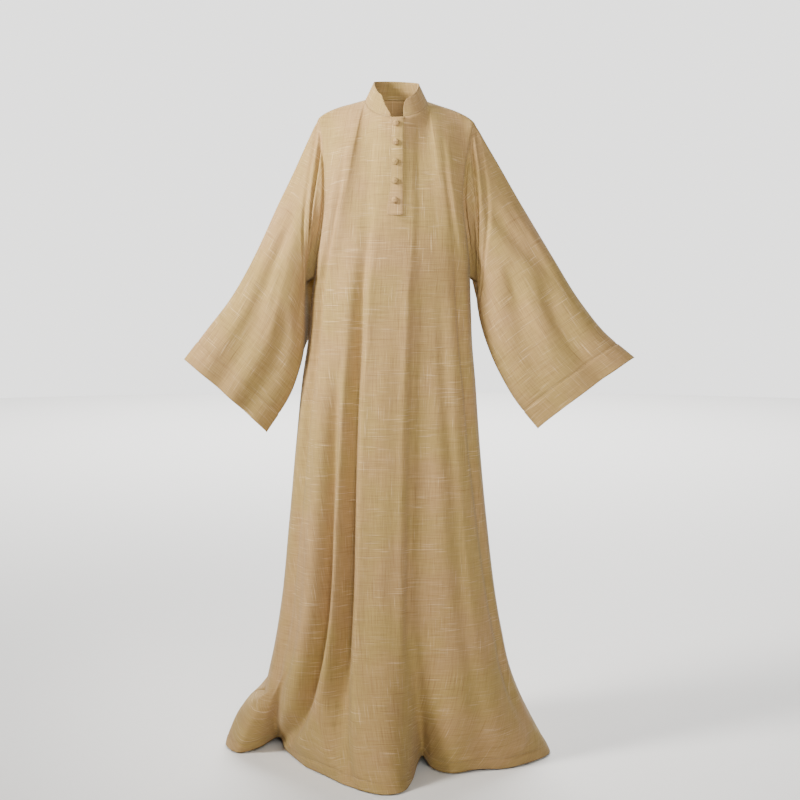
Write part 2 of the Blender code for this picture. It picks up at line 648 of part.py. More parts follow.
# Front panel: two halves that join below the slit.
left_places, left_top, right_places, right_top = front_columns()
places = np.concatenate((left_places, right_places[1:]))
top = np.concatenate((left_top, right_top[1:]))
front_grid = panel("front", places, top)
middle = len(left_places) - 1
left_grid = front_grid[:, :middle + 1].copy()
right_grid = front_grid[:, middle:].copy()
left_grid[:SLIT_ROWS, -1, 0] -= SLIT_HALF_WIDTH
right_grid[:SLIT_ROWS, 0, 0] += SLIT_HALF_WIDTH
row_count = front_grid.shape[0]
front_points = np.concatenate((left_grid.reshape(-1, 3), right_grid.reshape(-1, 3)))
front_faces = np.concatenate((
    grid_faces(row_count, left_grid.shape[1]),
    grid_faces(row_count, right_grid.shape[1]) + left_grid.shape[0] * left_grid.shape[1],
))
front = Cloth("front_panel", front_points, front_faces, WALL)

back_places, back_top = back_columns()
back_grid = panel("back", back_places, back_top)
back = Cloth("back_panel", back_grid.reshape(-1, 3), grid_faces(*back_grid.shape[:2], flip=True), WALL)

sleeves = []
for name, side, rows, folds, cuff_rise in (
    ("sleeve_left", -1, SLEEVE_LEFT, SLEEVE_LEFT_FOLDS, CUFF_RISE_LEFT),
    ("sleeve_right", 1, SLEEVE_RIGHT, SLEEVE_RIGHT_FOLDS, CUFF_RISE_RIGHT),
):
    grid = sleeve(side, rows, folds, cuff_rise)
    faces = grid_faces(*grid.shape[:2], closed=True, flip=side > 0)
    sleeves.append(Cloth(name, grid.reshape(-1, 3), faces, WALL))

neck_left_grid = front_grid[0, SHOULDER_CELLS:middle]
neck_right_grid = front_grid[0, middle + 1:-SHOULDER_CELLS]
back_neck = back_grid[0, SHOULDER_CELLS:-SHOULDER_CELLS]
band = collar(neck_left_grid, neck_right_grid, back_neck)
collar_band = Cloth("collar", band.reshape(-1, 3), grid_faces(*band.shape[:2], flip=True), COLLAR_WALL)

groups = [[front, back], sleeves, [collar_band]]
share_normals(groups)
for piece in (front, back, *sleeves, collar_band):
    points, faces = thicken(piece, SEAM_GAP)
    add_object(piece.name, points, faces, CLOTH_COLOUR, CLOTH_ROUGHNESS)

# Placket strip: the middle columns of the front panel, moved out.
strip_grid = front_grid[:PLACKET_ROWS + 1, middle - 1:middle + 2]
strip = Cloth("placket", strip_grid.reshape(-1, 3), grid_faces(*strip_grid.shape[:2]), WALL)
share_normals([[strip]])
strip.points = strip.points + strip.normals * (SEAM_GAP + WALL)
points, faces = thicken(strip, SEAM_GAP)
add_object("placket", points, faces, CLOTH_COLOUR, CLOTH_ROUGHNESS)

# Buttons on the middle line of the placket.
line = strip_grid[:, 1]
for number, height in enumerate(BUTTON_HEIGHTS, start=1):
    spot = np.array([np.interp(height, line[::-1, 2], line[::-1, k]) for k in range(3)])
    ahead = np.array([np.interp(height - BUTTON_STEP, line[::-1, 2], line[::-1, k]) for k in range(3)])
    slope = ahead - spot
    normal = np.cross((1.0, 0.0, 0.0), slope)
    normal = normal / np.linalg.norm(normal)
    normal = normal if normal[1] < 0 else -normal
    button(f"button_{number}", spot + normal * (WALL + 3 * SEAM_GAP), normal)
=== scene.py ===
import math

import bpy
import numpy as np
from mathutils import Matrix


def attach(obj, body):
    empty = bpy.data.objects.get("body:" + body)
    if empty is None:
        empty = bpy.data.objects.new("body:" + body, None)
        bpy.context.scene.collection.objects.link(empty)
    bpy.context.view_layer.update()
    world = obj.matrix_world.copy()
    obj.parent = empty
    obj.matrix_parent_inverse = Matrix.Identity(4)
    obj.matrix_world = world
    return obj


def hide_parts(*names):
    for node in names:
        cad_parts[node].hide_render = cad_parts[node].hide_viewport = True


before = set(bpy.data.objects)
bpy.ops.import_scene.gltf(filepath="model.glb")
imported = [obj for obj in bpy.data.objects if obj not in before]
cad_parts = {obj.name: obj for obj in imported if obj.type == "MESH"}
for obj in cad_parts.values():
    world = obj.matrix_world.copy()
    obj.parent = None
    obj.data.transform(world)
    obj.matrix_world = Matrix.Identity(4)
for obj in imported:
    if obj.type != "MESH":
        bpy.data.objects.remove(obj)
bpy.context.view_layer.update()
print("frame loaded:", len(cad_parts), "nodes")


# a table as columns: the names in one line, then a row for each section, fold or crease
def tableOf(names, *rows):
    return dict(zip(names.split(), np.array(rows, dtype=float).T))


# smooth curve through the rows of a table
def through(keys, values, at):
    gaps = np.diff(keys)
    slopes = np.diff(values) / gaps
    inner = (slopes[:-1] * gaps[1:] + slopes[1:] * gaps[:-1]) / (gaps[:-1] + gaps[1:])
    tangents = np.concatenate((slopes[:1], inner, slopes[-1:]))
    low = np.clip(np.searchsorted(keys, at) - 1, 0, len(gaps) - 1)
    t = limit((at - keys[low]) / gaps[low])
    rise = values[low + 1] - values[low]
    return (values[low] + rise * t * t * (3 - 2 * t)
            + gaps[low] * (tangents[low] * t * (1 - t) ** 2 - tangents[low + 1] * t * t * (1 - t)))


# columns of a table at places along its first column: the named ones, or all the others
def columnsAt(table, at, names=None):
    first, *others = table
    return [through(table[first], table[name], at) for name in names or others]


def limit(share):
    return np.clip(share, 0.0, 1.0)


# smooth step from 0 to 1
def ease(t):
    t = limit(t)
    return t * t * (3 - 2 * t)


# bell curve: 1 in its middle, falling to nothing on both sides
def bell(away):
    return np.exp(-away ** 2)


# cross-section of a fold: a soft trough with a low bank on each side
def trough(away, bank=0.35, bankWidth=2.2):
    return bell(away) - bank * bell(away / bankWidth)


def unit(vectors):
    return vectors / np.maximum(np.linalg.norm(vectors, axis=-1, keepdims=True), 1e-9)


# running length along an axis of a grid of points, from its first row or column
def runLength(points, axis):
    steps = np.linalg.norm(np.diff(points, axis=axis), axis=-1)
    first = np.zeros_like(np.take(steps, [0], axis=axis))
    return np.concatenate((first, np.cumsum(steps, axis=axis)), axis=axis)


# points between the points of a line, at places along its run
def pointsAt(at, run, line):
    return np.stack([np.interp(at, run, line[:, k]) for k in range(3)], -1)


# outward normals of a grid: the cross product of its steps down and to the right
def gridNormals(points, side=1):
    return side * unit(np.cross(np.gradient(points, axis=0), np.gradient(points, axis=1)))


# long uneven swells of the cloth: a few sine waves of the two lengths on it, with seeded directions
def swell(u, v, longest, seed, height=0.0016, waves=7, shortest=0.45, slant=0.45):
    chance = np.random.default_rng(seed)
    total = np.zeros(np.shape(u))
    for _ in range(waves):
        angle = chance.uniform(0, math.tau)
        wave = math.tau / (longest * chance.uniform(shortest, 1.0))
        phase = chance.uniform(0, math.tau)
        total = total + np.sin(wave * (u * math.cos(angle) + v * math.sin(angle) * slant) + phase)
    return height * total / waves


# listed creases: each is a trough along a bowed line from one point to another, fading at both ends
def creases(across, height, rows, fade=0.3):
    total = np.zeros(np.shape(across))
    for fromX, fromZ, toX, toZ, bow, width, depth in zip(*rows.values()):
        run, fall = toX - fromX, toZ - fromZ
        length = math.hypot(run, fall)
        t = ((across - fromX) * run + (height - fromZ) * fall) / length ** 2
        aside = ((across - fromX) * fall - (height - fromZ) * run) / length
        aside = aside - bow * 4 * t * (1 - t)
        total = total - depth * trough(aside / width) * ease(t / fade) * ease((1 - t) / fade)
    return total


# share of the relief that is left near two seams
def seamCalm(first, second, reach=0.02):
    return ease(first / reach) * ease(second / reach)


# cloth drawn together by a seam: flat on the seam itself, a low puff just beside it, nothing further off
def puff(distance, height=0.0011, groove=0.0032, reach=0.016):
    return height * (1 - bell(distance / groove)) * bell(distance / reach)


# a turned hem: the double cloth below the stitch line stands a little proud, with a groove at the line
def hemRelief(distance, depth, step=0.0007, stepWidth=0.004, groove=0.0012, grooveWidth=0.0026):
    return step * ease((depth - distance) / stepWidth) - groove * bell((distance - depth) / grooveWidth)


body = {
    "floor": -1.46,
    "hemClearance": 0.003,
    "underarm": -0.385,
    "ringPower": 0.82,
    "shoulderTilt": 0.026,
    "neckHalfWidth": 0.068,
    "neckFront": 0.074,
    "neckBack": 0.058,
    "neckSideHeight": 0.004,
    "neckFrontDrop": 0.041,
    "neckBackRise": 0.006,
    "armholeSteps": 10,
    "shoulderSteps": 7,
    "neckSteps": 8,
    "backNeckSteps": 12,
    "fineness": 5,
    "skirtRows": 172,
    "hemRows": 25,
    "hemRowsFrom": 0.955,
    "slopeStep": 0.01,
    "foldOnset": 5,
    "sideCalm": 0.12,
    "backJoinStart": 0.5,
    "backJoinRun": 0.4,
    "shoulderBack": 0.003,
    "outAtNeck": 0.30,
    "outGainAtShoulder": 0.52,
    "outLossAtTip": 0.35,
    "downAtNeck": 1.05,
    "downLossAtShoulder": 0.55,
    "downGainAtTip": 0.30,
    "seamReachFrom": 0.35,
    "shoulderPuff": 0.0007,
    "swell": 0.19,
    "rings": tableOf(
        "height centre halfWidth front back",
        (-0.385, -0.0095, 0.172, 0.113, 0.097),
        (-0.42, -0.0118, 0.1753, 0.112, 0.096),
        (-0.456, -0.0125, 0.1775, 0.112, 0.096),
        (-0.522, -0.014, 0.1815, 0.113, 0.098),
        (-0.612, -0.017, 0.192, 0.118, 0.105),
        (-0.747, -0.019, 0.204, 0.13, 0.12),
        (-0.928, -0.019, 0.221, 0.146, 0.139),
        (-1.111, -0.017, 0.242, 0.164, 0.158),
        (-1.203, -0.016, 0.258, 0.175, 0.168),
        (-1.296, -0.017, 0.277, 0.188, 0.18),
        (-1.46, -0.017, 0.308, 0.212, 0.2),
    ),
    "shoulder": tableOf(
        "along across back height",
        (0, 0.068, 0.002, 0.004),
        (0.3, 0.098, 0.003, -0.005),
        (0.6, 0.13, 0.003, -0.015),
        (0.85, 0.157, 0.002, -0.028),
        (1, 0.1705, 0, -0.0385),
    ),
    "armhole": tableOf(
        "along height front back left right behind",
        (0, -0.0385, 0, 0, 0.1705, 0.1705, 0.1705),
        (0.2, -0.093, 0.027, 0.025, 0.161, 0.1585, 0.159),
        (0.4, -0.154, 0.048, 0.044, 0.155, 0.148, 0.151),
        (0.6, -0.222, 0.054, 0.049, 0.155, 0.145, 0.15),
        (0.8, -0.296, 0.042, 0.038, 0.165, 0.154, 0.159),
        (0.92, -0.349, 0.021, 0.019, 0.175, 0.16, 0.167),
        (1, -0.385, 0, 0, 0.1815, 0.1625, 0.172),
    ),
}

armholeRows = body["armholeSteps"] * body["fineness"]

frontPanel = {
    "wall": 0.0012,
    "hemDepth": 0.024,
    "slitSteps": 5,
    "slitHalfWidth": 0.0006,
    "seed": 3,
    "leftSlitTurn": -0.12,
    "rightSlitTurn": -0.15,
    "leftStops": tableOf(
        "place cells",
        (-1, 5), (-0.67, 4), (-0.43, 3), (-0.265, 3), (-0.070, 1), (0, 0),
    ),
    "rightStops": tableOf(
        "place cells",
        (0, 1), (0.070, 2), (0.170, 5), (0.430, 3), (0.62, 5), (1, 0),
    ),
    "hem": tableOf(
        "place x forward lift flareStart power",
        (-1, -0.385, -0.1, 0, -1.32, 0.5),
        (-0.9, -0.393, -0.035, 0, -1.32, 0.5),
        (-0.8, -0.356, 0.026, 0, -1.3, 0.75),
        (-0.72, -0.313, 0, 0.004, -1.27, 1.1),
        (-0.65, -0.272, -0.045, 0.014, -1.24, 1.3),
        (-0.58, -0.252, 0.01, 0.004, -1.2, 1.6),
        (-0.5, -0.218, 0.088, 0, -1.12, 2.2),
        (-0.36, -0.158, 0.18, 0, -1.05, 2.4),
        (-0.22, -0.09, 0.266, 0, -1.05, 2.4),
        (-0.1, -0.024, 0.308, 0, -1.05, 2.4),
        (0, 0.02, 0.278, 0, -1.05, 2.4),
        (0.07, 0.037, 0.195, 0, -1.05, 2.4),
        (0.14, 0.056, 0.115, 0.022, -1.05, 2.4),
        (0.21, 0.078, 0.14, 0.004, -1.05, 2.4),
        (0.32, 0.12, 0.17, 0, -1.08, 2.6),
        (0.44, 0.172, 0.15, 0.002, -1.12, 2.8),
        (0.58, 0.237, 0.136, 0, -1.16, 3),
        (0.74, 0.302, 0.09, 0, -1.2, 2.8),
        (0.88, 0.347, 0.026, 0, -1.22, 2.4),
        (1, 0.345, -0.05, 0, -1.22, 2.2),
    ),
    "folds": tableOf(
        "topPlace hemPlace start width depth hemDepth lean bend",
        (-0.67, -0.76, -0.2, 0.058, 0.016, 0.01, 0, 1),
        (-0.39, -0.66, -0.5, 0.048, 0.008, 0.085, -0.2, 9),
        (-0.235, -0.25, -0.22, 0.054, 0.014, 0.078, -0.3, 1),
        (0.235, 0.12, -0.24, 0.13, 0.012, 0.03, 0.7, 1),
        (0.43, 0.48, -0.36, 0.06, 0.005, 0.008, 0, 1),
        (0.6, 0.84, -0.22, 0.058, 0.013, 0.01, 0, 1),
        (-0.05, -0.08, -0.45, 0.11, -0.008, -0.016, 0, 1),
        (-0.53, -0.64, -0.5, 0.06, -0.006, -0.014, 0, 6),
    ),
    "creases": tableOf(
        "fromX fromZ toX toZ bow width depth",
        (0.04, -0.42, 0.016, -1.33, -0.006, 0.009, 0.0045),
        (0.104, -0.52, 0.16, -1.18, 0.004, 0.012, 0.002),
        (0.112, -0.23, 0.168, -0.72, 0.004, 0.01, 0.0024),
        (-0.144, -0.2, -0.178, -0.64, 0.003, 0.01, 0.0026),
        (-0.106, -1.375, -0.088, -1.475, 0.004, 0.01, 0.007),
        (0.15, -1.392, 0.285, -1.432, 0.005, 0.012, 0.0055),
        (0.275, -1.44, 0.33, -1.38, 0.002, 0.01, 0.005),
        (-0.03, -0.7, -0.052, -1.12, 0.003, 0.016, 0.0022),
        (0.22, -1.18, 0.27, -1.4, 0.006, 0.014, 0.004),
        (-0.215, -1.05, -0.25, -1.3, -0.004, 0.012, 0.004),
    ),
}

backPanel = {
    "wall": 0.0012,
    "hemDepth": 0.024,
    "seed": 8,
    "hem": tableOf(
        "place x forward lift flareStart power",
        (-1, -0.385, -0.1, 0, -1.32, 0.5),
        (-0.86, -0.352, -0.16, 0, -1.3, 0.7),
        (-0.7, -0.292, -0.175, 0.002, -1.2, 1.7),
        (-0.55, -0.232, -0.16, 0.006, -1.05, 2.4),
        (-0.38, -0.16, -0.238, 0, -1.05, 2.4),
        (-0.18, -0.072, -0.268, 0, -1.05, 2.4),
        (0, 0.006, -0.205, 0.006, -1.05, 2.4),
        (0.18, 0.08, -0.255, 0, -1.05, 2.4),
        (0.38, 0.165, -0.244, 0, -1.05, 2.4),
        (0.55, 0.222, -0.168, 0.006, -1.05, 2.4),
        (0.72, 0.28, -0.172, 0, -1.1, 2.6),
        (0.88, 0.33, -0.12, 0, -1.2, 2.4),
        (1, 0.345, -0.05, 0, -1.22, 2.2),
    ),
    "folds": tableOf(
        "topPlace hemPlace start width depth hemDepth lean bend",
        (-0.76, -0.72, -0.24, 0.066, 0.014, 0.02, 0, 1),
        (-0.46, -0.54, -0.34, 0.068, 0.015, 0.028, 0.2, 1),
        (-0.1, 0, -0.28, 0.072, 0.016, 0.03, -0.2, 1),
        (0.26, 0.22, -0.5, 0.062, 0.009, 0.012, 0, 1),
        (0.48, 0.54, -0.3, 0.068, 0.014, 0.028, 0.2, 1),
        (0.78, 0.74, -0.22, 0.066, 0.014, 0.018, 0, 1),
    ),
    "creases": tableOf(
        "fromX fromZ toX toZ bow width depth",
        (-0.118, -0.42, -0.18, -1.25, 0.006, 0.013, 0.0042),
        (-0.026, -0.36, -0.004, -1.28, 0.005, 0.012, 0.0046),
        (0.118, -0.4, 0.166, -1.24, -0.005, 0.013, 0.004),
        (0.062, -0.6, 0.058, -1.06, 0.003, 0.014, 0.0024),
        (-0.078, -0.56, -0.092, -1.02, -0.003, 0.014, 0.0022),
        (0.15, -0.18, 0.162, -0.56, 0.003, 0.01, 0.0028),
        (-0.152, -0.2, -0.166, -0.62, -0.003, 0.01, 0.0028),
        (0.205, -1.12, 0.262, -1.4, 0.005, 0.013, 0.004),
        (-0.232, -1.16, -0.296, -1.4, -0.005, 0.013, 0.004),
        (-0.04, -0.1, -0.052, -0.29, 0.002, 0.01, 0.0014),
        (0.05, -0.11, 0.058, -0.33, -0.002, 0.01, 0.0014),
    ),
}


# push of the long folds at a place of the ring and a height
def foldPush(folds, place, height):
    push = 0.0
    for top, end, start, width, depth, hemDepth, lean, bend in zip(*folds.values()):
        fall = limit((start - height) / (start - body["floor"]))
        away = (place - top - (end - top) * fall ** bend) / width
        away = away / (1 + lean * np.tanh(2 * away))
        push = push - ease(fall * body["foldOnset"]) * (depth + (hemDepth - depth) * fall) * trough(away)
    return push * ease((1 - np.abs(place)) / body["sideCalm"])


# ring at one height: half an ellipse with a flattened face, pushed in along its normal by the folds
def bodySection(face, piece, place, height):
    rings = body["rings"]
    keys = ("centre", "halfWidth", face)
    centre, half, depth = (through(-rings["height"], rings[key], -height) for key in keys)
    sign = -1.0 if face == "front" else 1.0
    across = np.sin(place * np.pi / 2)
    deep = limit(np.cos(place * np.pi / 2))
    outX, outY = across / half, deep / depth
    size = np.hypot(outX, outY)
    push = foldPush(piece["folds"], place, height)
    outward = depth * deep ** body["ringPower"] + push * outY / size
    return centre + half * across + push * outX / size, sign * outward


# below the underarm: the ring at each height, blended near the floor into the drawn lower edge
def skirt(face, piece, place, along):
    hemX, hemForward, hemLift, start, power = columnsAt(piece["hem"], place)
    end = body["floor"] + body["hemClearance"] + hemLift
    height = body["underarm"] + (end - body["underarm"]) * along
    x, y = bodySection(face, piece, place, height)
    blend = limit((start - height) / (start - end)) ** power
    return np.stack((x + (hemX - x) * blend, y + (-hemForward - y) * blend, height), -1)


# the neck opening: half an ellipse on each face, lower at the front and higher at the back
def neckline(face, turn):
    deep = limit(np.cos(turn * np.pi / 2))
    sideY = body["shoulder"]["back"][0]
    x = body["neckHalfWidth"] * np.sin(turn * np.pi / 2)
    if face == "front":
        y, rise = sideY - (body["neckFront"] + sideY) * deep, -body["neckFrontDrop"] * deep
    else:
        y, rise = sideY + (body["neckBack"] - sideY) * deep, body["neckBackRise"] * deep
    return np.stack((x, y, body["neckSideHeight"] + rise), -1)


# from the neck point to the shoulder point, through the rows of its table
def shoulderSeam(side, along):
    x, y, z = columnsAt(body["shoulder"], along)
    return np.stack((side * x, y, z), -1)


# from the shoulder point down to the underarm; the back has its own line above and joins the front's below
def armholeSeam(side, face, along):
    names = ("left" if side < 0 else "right", "behind", face, "height")
    x, behind, y, z = columnsAt(body["armhole"], along, names)
    if face == "back":
        x = behind + (x - behind) * ease((along - body["backJoinStart"]) / body["backJoinRun"])
    return np.stack((side * x, (-y if face == "front" else y), z), -1)


# one shoulder stands lower than the other: height falls with the place across
def tilt(points, strength):
    lowered = points.copy()
    lowered[..., 2] -= body["shoulderTilt"] * points[..., 0] * strength
    return lowered


# above the underarm: a Hermite curve down each column from the top line to the first ring, drawn to the
# armhole seam at both sides; it leaves the top line outwards and downwards by shares of its drop
def bodice(face, piece, places, top):
    sign = -1.0 if face == "front" else 1.0
    along = np.linspace(0.0, 1.0, armholeRows + 1)
    t = along[:, None, None]
    foot = skirt(face, piece, places, np.zeros_like(places))
    lower = skirt(face, piece, places, np.full_like(places, body["slopeStep"]))
    drop = top[:, 2] - body["underarm"]
    leave = (lower - foot) / (foot[:, 2] - lower[:, 2])[:, None] * drop[:, None]
    flat = 1 - limit(sign * (top[:, 1] - body["shoulderBack"]) / body["neckBack"])
    shoulderRun = body["shoulder"]["across"][-1] - body["neckHalfWidth"]
    tip = ease((np.abs(top[:, 0]) - body["neckHalfWidth"]) / shoulderRun)
    away = (body["outAtNeck"] + body["outGainAtShoulder"] * flat) * (1 - body["outLossAtTip"] * tip)
    fall = body["downAtNeck"] - body["downLossAtShoulder"] * flat + body["downGainAtTip"] * tip
    start = np.stack((foot[:, 0] - top[:, 0], sign * away * drop, -fall * drop), -1)
    curve = (top * (1 + 2 * t) * (1 - t) ** 2 + foot * t * t * (3 - 2 * t)
             + start * t * (1 - t) ** 2 - leave * t * t * (1 - t))
    for side, column in ((-1, 0), (1, -1)):
        seam = armholeSeam(side, face, along)
        reach = ease((side * places - body["seamReachFrom"]) / (1 - body["seamReachFrom"]))[None, :, None]
        curve = curve + (seam - curve[:, column])[:, None, :] * reach
    return tilt(curve, 1 - t[..., 0])


# rows of the skirt: even ones, and closer ones over the turned hem
def skirtRows():
    hemStart = body["hemRowsFrom"]
    even = np.linspace(0.0, hemStart, body["skirtRows"])
    close = np.linspace(hemStart, 1.0, body["hemRows"])
    return np.concatenate((even[1:], close[1:]))


# a whole body panel: the rows of the bodice, then those of the skirt
def panelGrid(face, piece, places, top):
    along, across = np.meshgrid(skirtRows(), places, indexing="ij")
    return np.concatenate((bodice(face, piece, places, top), skirt(face, piece, across, along)))


# places across a panel, with a number of even cells from each row of the table to the next
def evenStops(rows):
    places = [rows["place"][:1]]
    for start, end, cells in zip(rows["place"][:-1], rows["place"][1:], rows["cells"][:-1]):
        places.append(np.linspace(start, end, int(cells) + 1)[1:])
    return np.concatenate(places)


# columns of one half of the front: the place of each, and its top point on the shoulder seam or neckline
def frontColumns(side):
    stops = evenStops(frontPanel["leftStops"] if side < 0 else frontPanel["rightStops"])
    steps = np.linspace(0, len(stops) - 1, (len(stops) - 1) * body["fineness"] + 1)
    places = through(np.arange(len(stops)), stops, steps)
    fromSide = steps if side < 0 else steps[-1] - steps
    shoulderSteps, neckSteps = body["shoulderSteps"], body["neckSteps"]
    marks = np.append(np.arange(neckSteps + 1) + shoulderSteps, shoulderSteps + neckSteps + 1)
    slitTurn = frontPanel["leftSlitTurn" if side < 0 else "rightSlitTurn"]
    turns = np.append(np.linspace(-1.0, slitTurn, neckSteps + 1), 0.0)
    seam = shoulderSeam(side, 1 - fromSide / shoulderSteps)
    neck = neckline("front", -side * np.interp(fromSide, marks, turns))
    return places, np.where((fromSide <= shoulderSteps)[:, None], seam, neck)


# columns of the back: shoulder, neck and shoulder, in even steps
def backColumns():
    shoulderSteps, neckSteps = body["shoulderSteps"], body["backNeckSteps"]
    cells = 2 * shoulderSteps + neckSteps
    steps = np.linspace(0, cells, cells * body["fineness"] + 1)
    left = shoulderSeam(-1, 1 - steps / shoulderSteps)
    right = shoulderSeam(1, 1 - (cells - steps) / shoulderSteps)
    neck = neckline("back", (steps - shoulderSteps) / neckSteps * 2 - 1)
    neckRight = np.where((steps > cells - shoulderSteps)[:, None], right, neck)
    return steps / cells * 2 - 1, np.where((steps < shoulderSteps)[:, None], left, neckRight)


# lengths on a panel: across from its middle column, down from the underarm row, and to each of its edges
def panelLengths(points, middle):
    across, down = runLength(points, 1), runLength(points, 0)
    grain = np.stack((across - across[:, middle:middle + 1], down[armholeRows] - down), -1)
    toSides = np.minimum(across, across[:, -1:] - across)
    return grain, toSides, down, down[-1] - down


# the fine relief of a body panel: seams, creases, swells and the turned hem
def dressPanel(points, side, piece, middle):
    normals = gridNormals(points, side)
    grain, toSides, toTop, toHem = panelLengths(points, middle)
    calm = seamCalm(toSides, toTop)
    lift = creases(points[..., 0], points[..., 2], piece["creases"])
    lift = lift + swell(grain[..., 0], grain[..., 1], body["swell"], piece["seed"])
    lift = lift * calm + puff(toSides) + puff(toTop, body["shoulderPuff"])
    lift = lift + hemRelief(toHem, piece["hemDepth"])
    return points + normals * lift[..., None], normals, grain


def makeMesh(name, points, faces):
    mesh = bpy.data.meshes.new(name)
    mesh.from_pydata(points.tolist(), [], faces)
    mesh.update()
    return mesh


def addObject(name, data):
    made = bpy.data.objects.new(name, data)
    bpy.context.scene.collection.objects.link(made)
    return made


# a smooth mesh with its material as a piece that rides on the part's one body
def linkPiece(name, mesh, material):
    mesh.shade_smooth()
    mesh.materials.append(material)
    piece = addObject(name, mesh)
    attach(piece, "root")
    return piece


# one mesh from several grids; points in the same spot are joined, and each keeps its own place on the cloth
def clothMesh(name, grids, material, outward=1):
    points, grain, faces, start = [], [], [], 0
    for gridPoints, gridGrain in grids:
        rows, columns = gridPoints.shape[:2]
        near = start + (np.arange(rows - 1)[:, None] * columns + np.arange(columns - 1)).ravel()
        faces.append(np.stack((near, near + columns, near + columns + 1, near + 1), -1))
        points.append(gridPoints.reshape(-1, 3))
        grain.append(gridGrain.reshape(-1, 2))
        start += rows * columns
    points, grain, faces = np.concatenate(points), np.concatenate(grain), np.concatenate(faces)
    if outward < 0:
        faces = faces[:, ::-1]
    _, first, joined = np.unique(np.round(points, 6), axis=0, return_index=True, return_inverse=True)
    corners = joined.ravel()[faces]
    whole = np.all(np.diff(np.sort(corners, axis=1), axis=1) > 0, axis=1)
    mesh = makeMesh(name, points[first], corners[whole].tolist())
    spots = grain[faces[whole].ravel()].astype(np.float32)
    mesh.uv_layers.new(name="grain").data.foreach_set("uv", spots.ravel())
    return linkPiece(name, mesh, material)


# the cloth's thickness, inwards from its face, with its cut edges rounded where a radius is given
def addWall(piece, thickness, round=0.0, segments=2, angle=50):
    wall = piece.modifiers.new("wall", "SOLIDIFY")
    wall.thickness = thickness
    wall.offset = -1.0
    wall.use_quality_normals = True
    if round:
        edge = piece.modifiers.new("edge", "BEVEL")
        edge.width, edge.segments, edge.limit_method = round, segments, "ANGLE"
        edge.angle_limit = math.radians(angle)


thread = {
    "length": 0.0027,
    "gap": 0.0010,
    "radius": 0.00030,
    "rings": 5,
    "sides": 5,
    "arch": 2.2,
    "sunk": 0.9,
    "thinEnd": 0.55,
}


# a row of thread stitches along a line on the cloth: each is a short tube whose ends dip into it
def stitchPoints(line, normals):
    run = runLength(line, 0)
    pitch = thread["length"] + thread["gap"]
    count = int(run[-1] // pitch)
    share = np.linspace(0.0, 1.0, thread["rings"])
    at = np.arange(count)[:, None] * pitch + thread["gap"] / 2 + share * thread["length"]
    place, out = pointsAt(at, run, line), unit(pointsAt(at, run, normals))
    ahead = unit(np.gradient(place, axis=1))
    aside = np.cross(ahead, out)
    turn = np.linspace(0, math.tau, thread["sides"], endpoint=False)
    lift = thread["radius"] * (thread["arch"] * np.sin(np.pi * share) - thread["sunk"])
    ring = np.cos(turn)[:, None] * aside[:, :, None] + np.sin(turn)[:, None] * out[:, :, None]
    width = thread["radius"] * (thread["thinEnd"] + (1 - thread["thinEnd"]) * np.sin(np.pi * share))
    return (place + out * lift[None, :, None])[:, :, None] + ring * width[None, :, None, None]


# all the stitches along several lines as one mesh of closed tubes
def stitchMesh(name, lines):
    tubes = np.concatenate([stitchPoints(line, normals) for line, normals in lines])
    count, rings, sides = tubes.shape[:3]
    ring, side = np.meshgrid(np.arange(rings - 1), np.arange(sides), indexing="ij")
    near, after = ring * sides + side, ring * sides + (side + 1) % sides
    tube = np.stack((near, after, after + sides, near + sides), -1).reshape(-1, 4)
    caps = np.stack((np.arange(sides)[::-1], np.arange(sides) + (rings - 1) * sides))
    starts = (np.arange(count) * rings * sides)[:, None, None]
    faces, ends = (tube + starts).reshape(-1, 4), (caps + starts).reshape(-1, sides)
    mesh = makeMesh(name, tubes.reshape(-1, 3), faces.tolist() + ends.tolist())
    return linkPiece(name, mesh, threadMaterial)


# a socket in a material; arithmetic on it adds Math nodes
class Wire:
    def __init__(self, maker, socket):
        self.maker, self.socket = maker, socket

    def maths(self, operation, first, second=0.0):
        return self.maker.node("ShaderNodeMath", {"operation": operation}, {0: first, 1: second})

    def __add__(self, other):
        return self.maths("ADD", self, other)

    __radd__ = __add__

    def __sub__(self, other):
        return self.maths("SUBTRACT", self, other)

    def __rsub__(self, other):
        return self.maths("SUBTRACT", other, self)

    def __mul__(self, other):
        return self.maths("MULTIPLY", self, other)

    __rmul__ = __mul__

    def __truediv__(self, other):
        return self.maths("DIVIDE", self, other)

    def sine(self):
        return self.maths("SINE", self)

    def between(self, low, high):
        return self.maker.node("ShaderNodeMapRange", {"interpolation_type": "SMOOTHSTEP"},
                               {"Value": self, "From Min": low, "From Max": high})


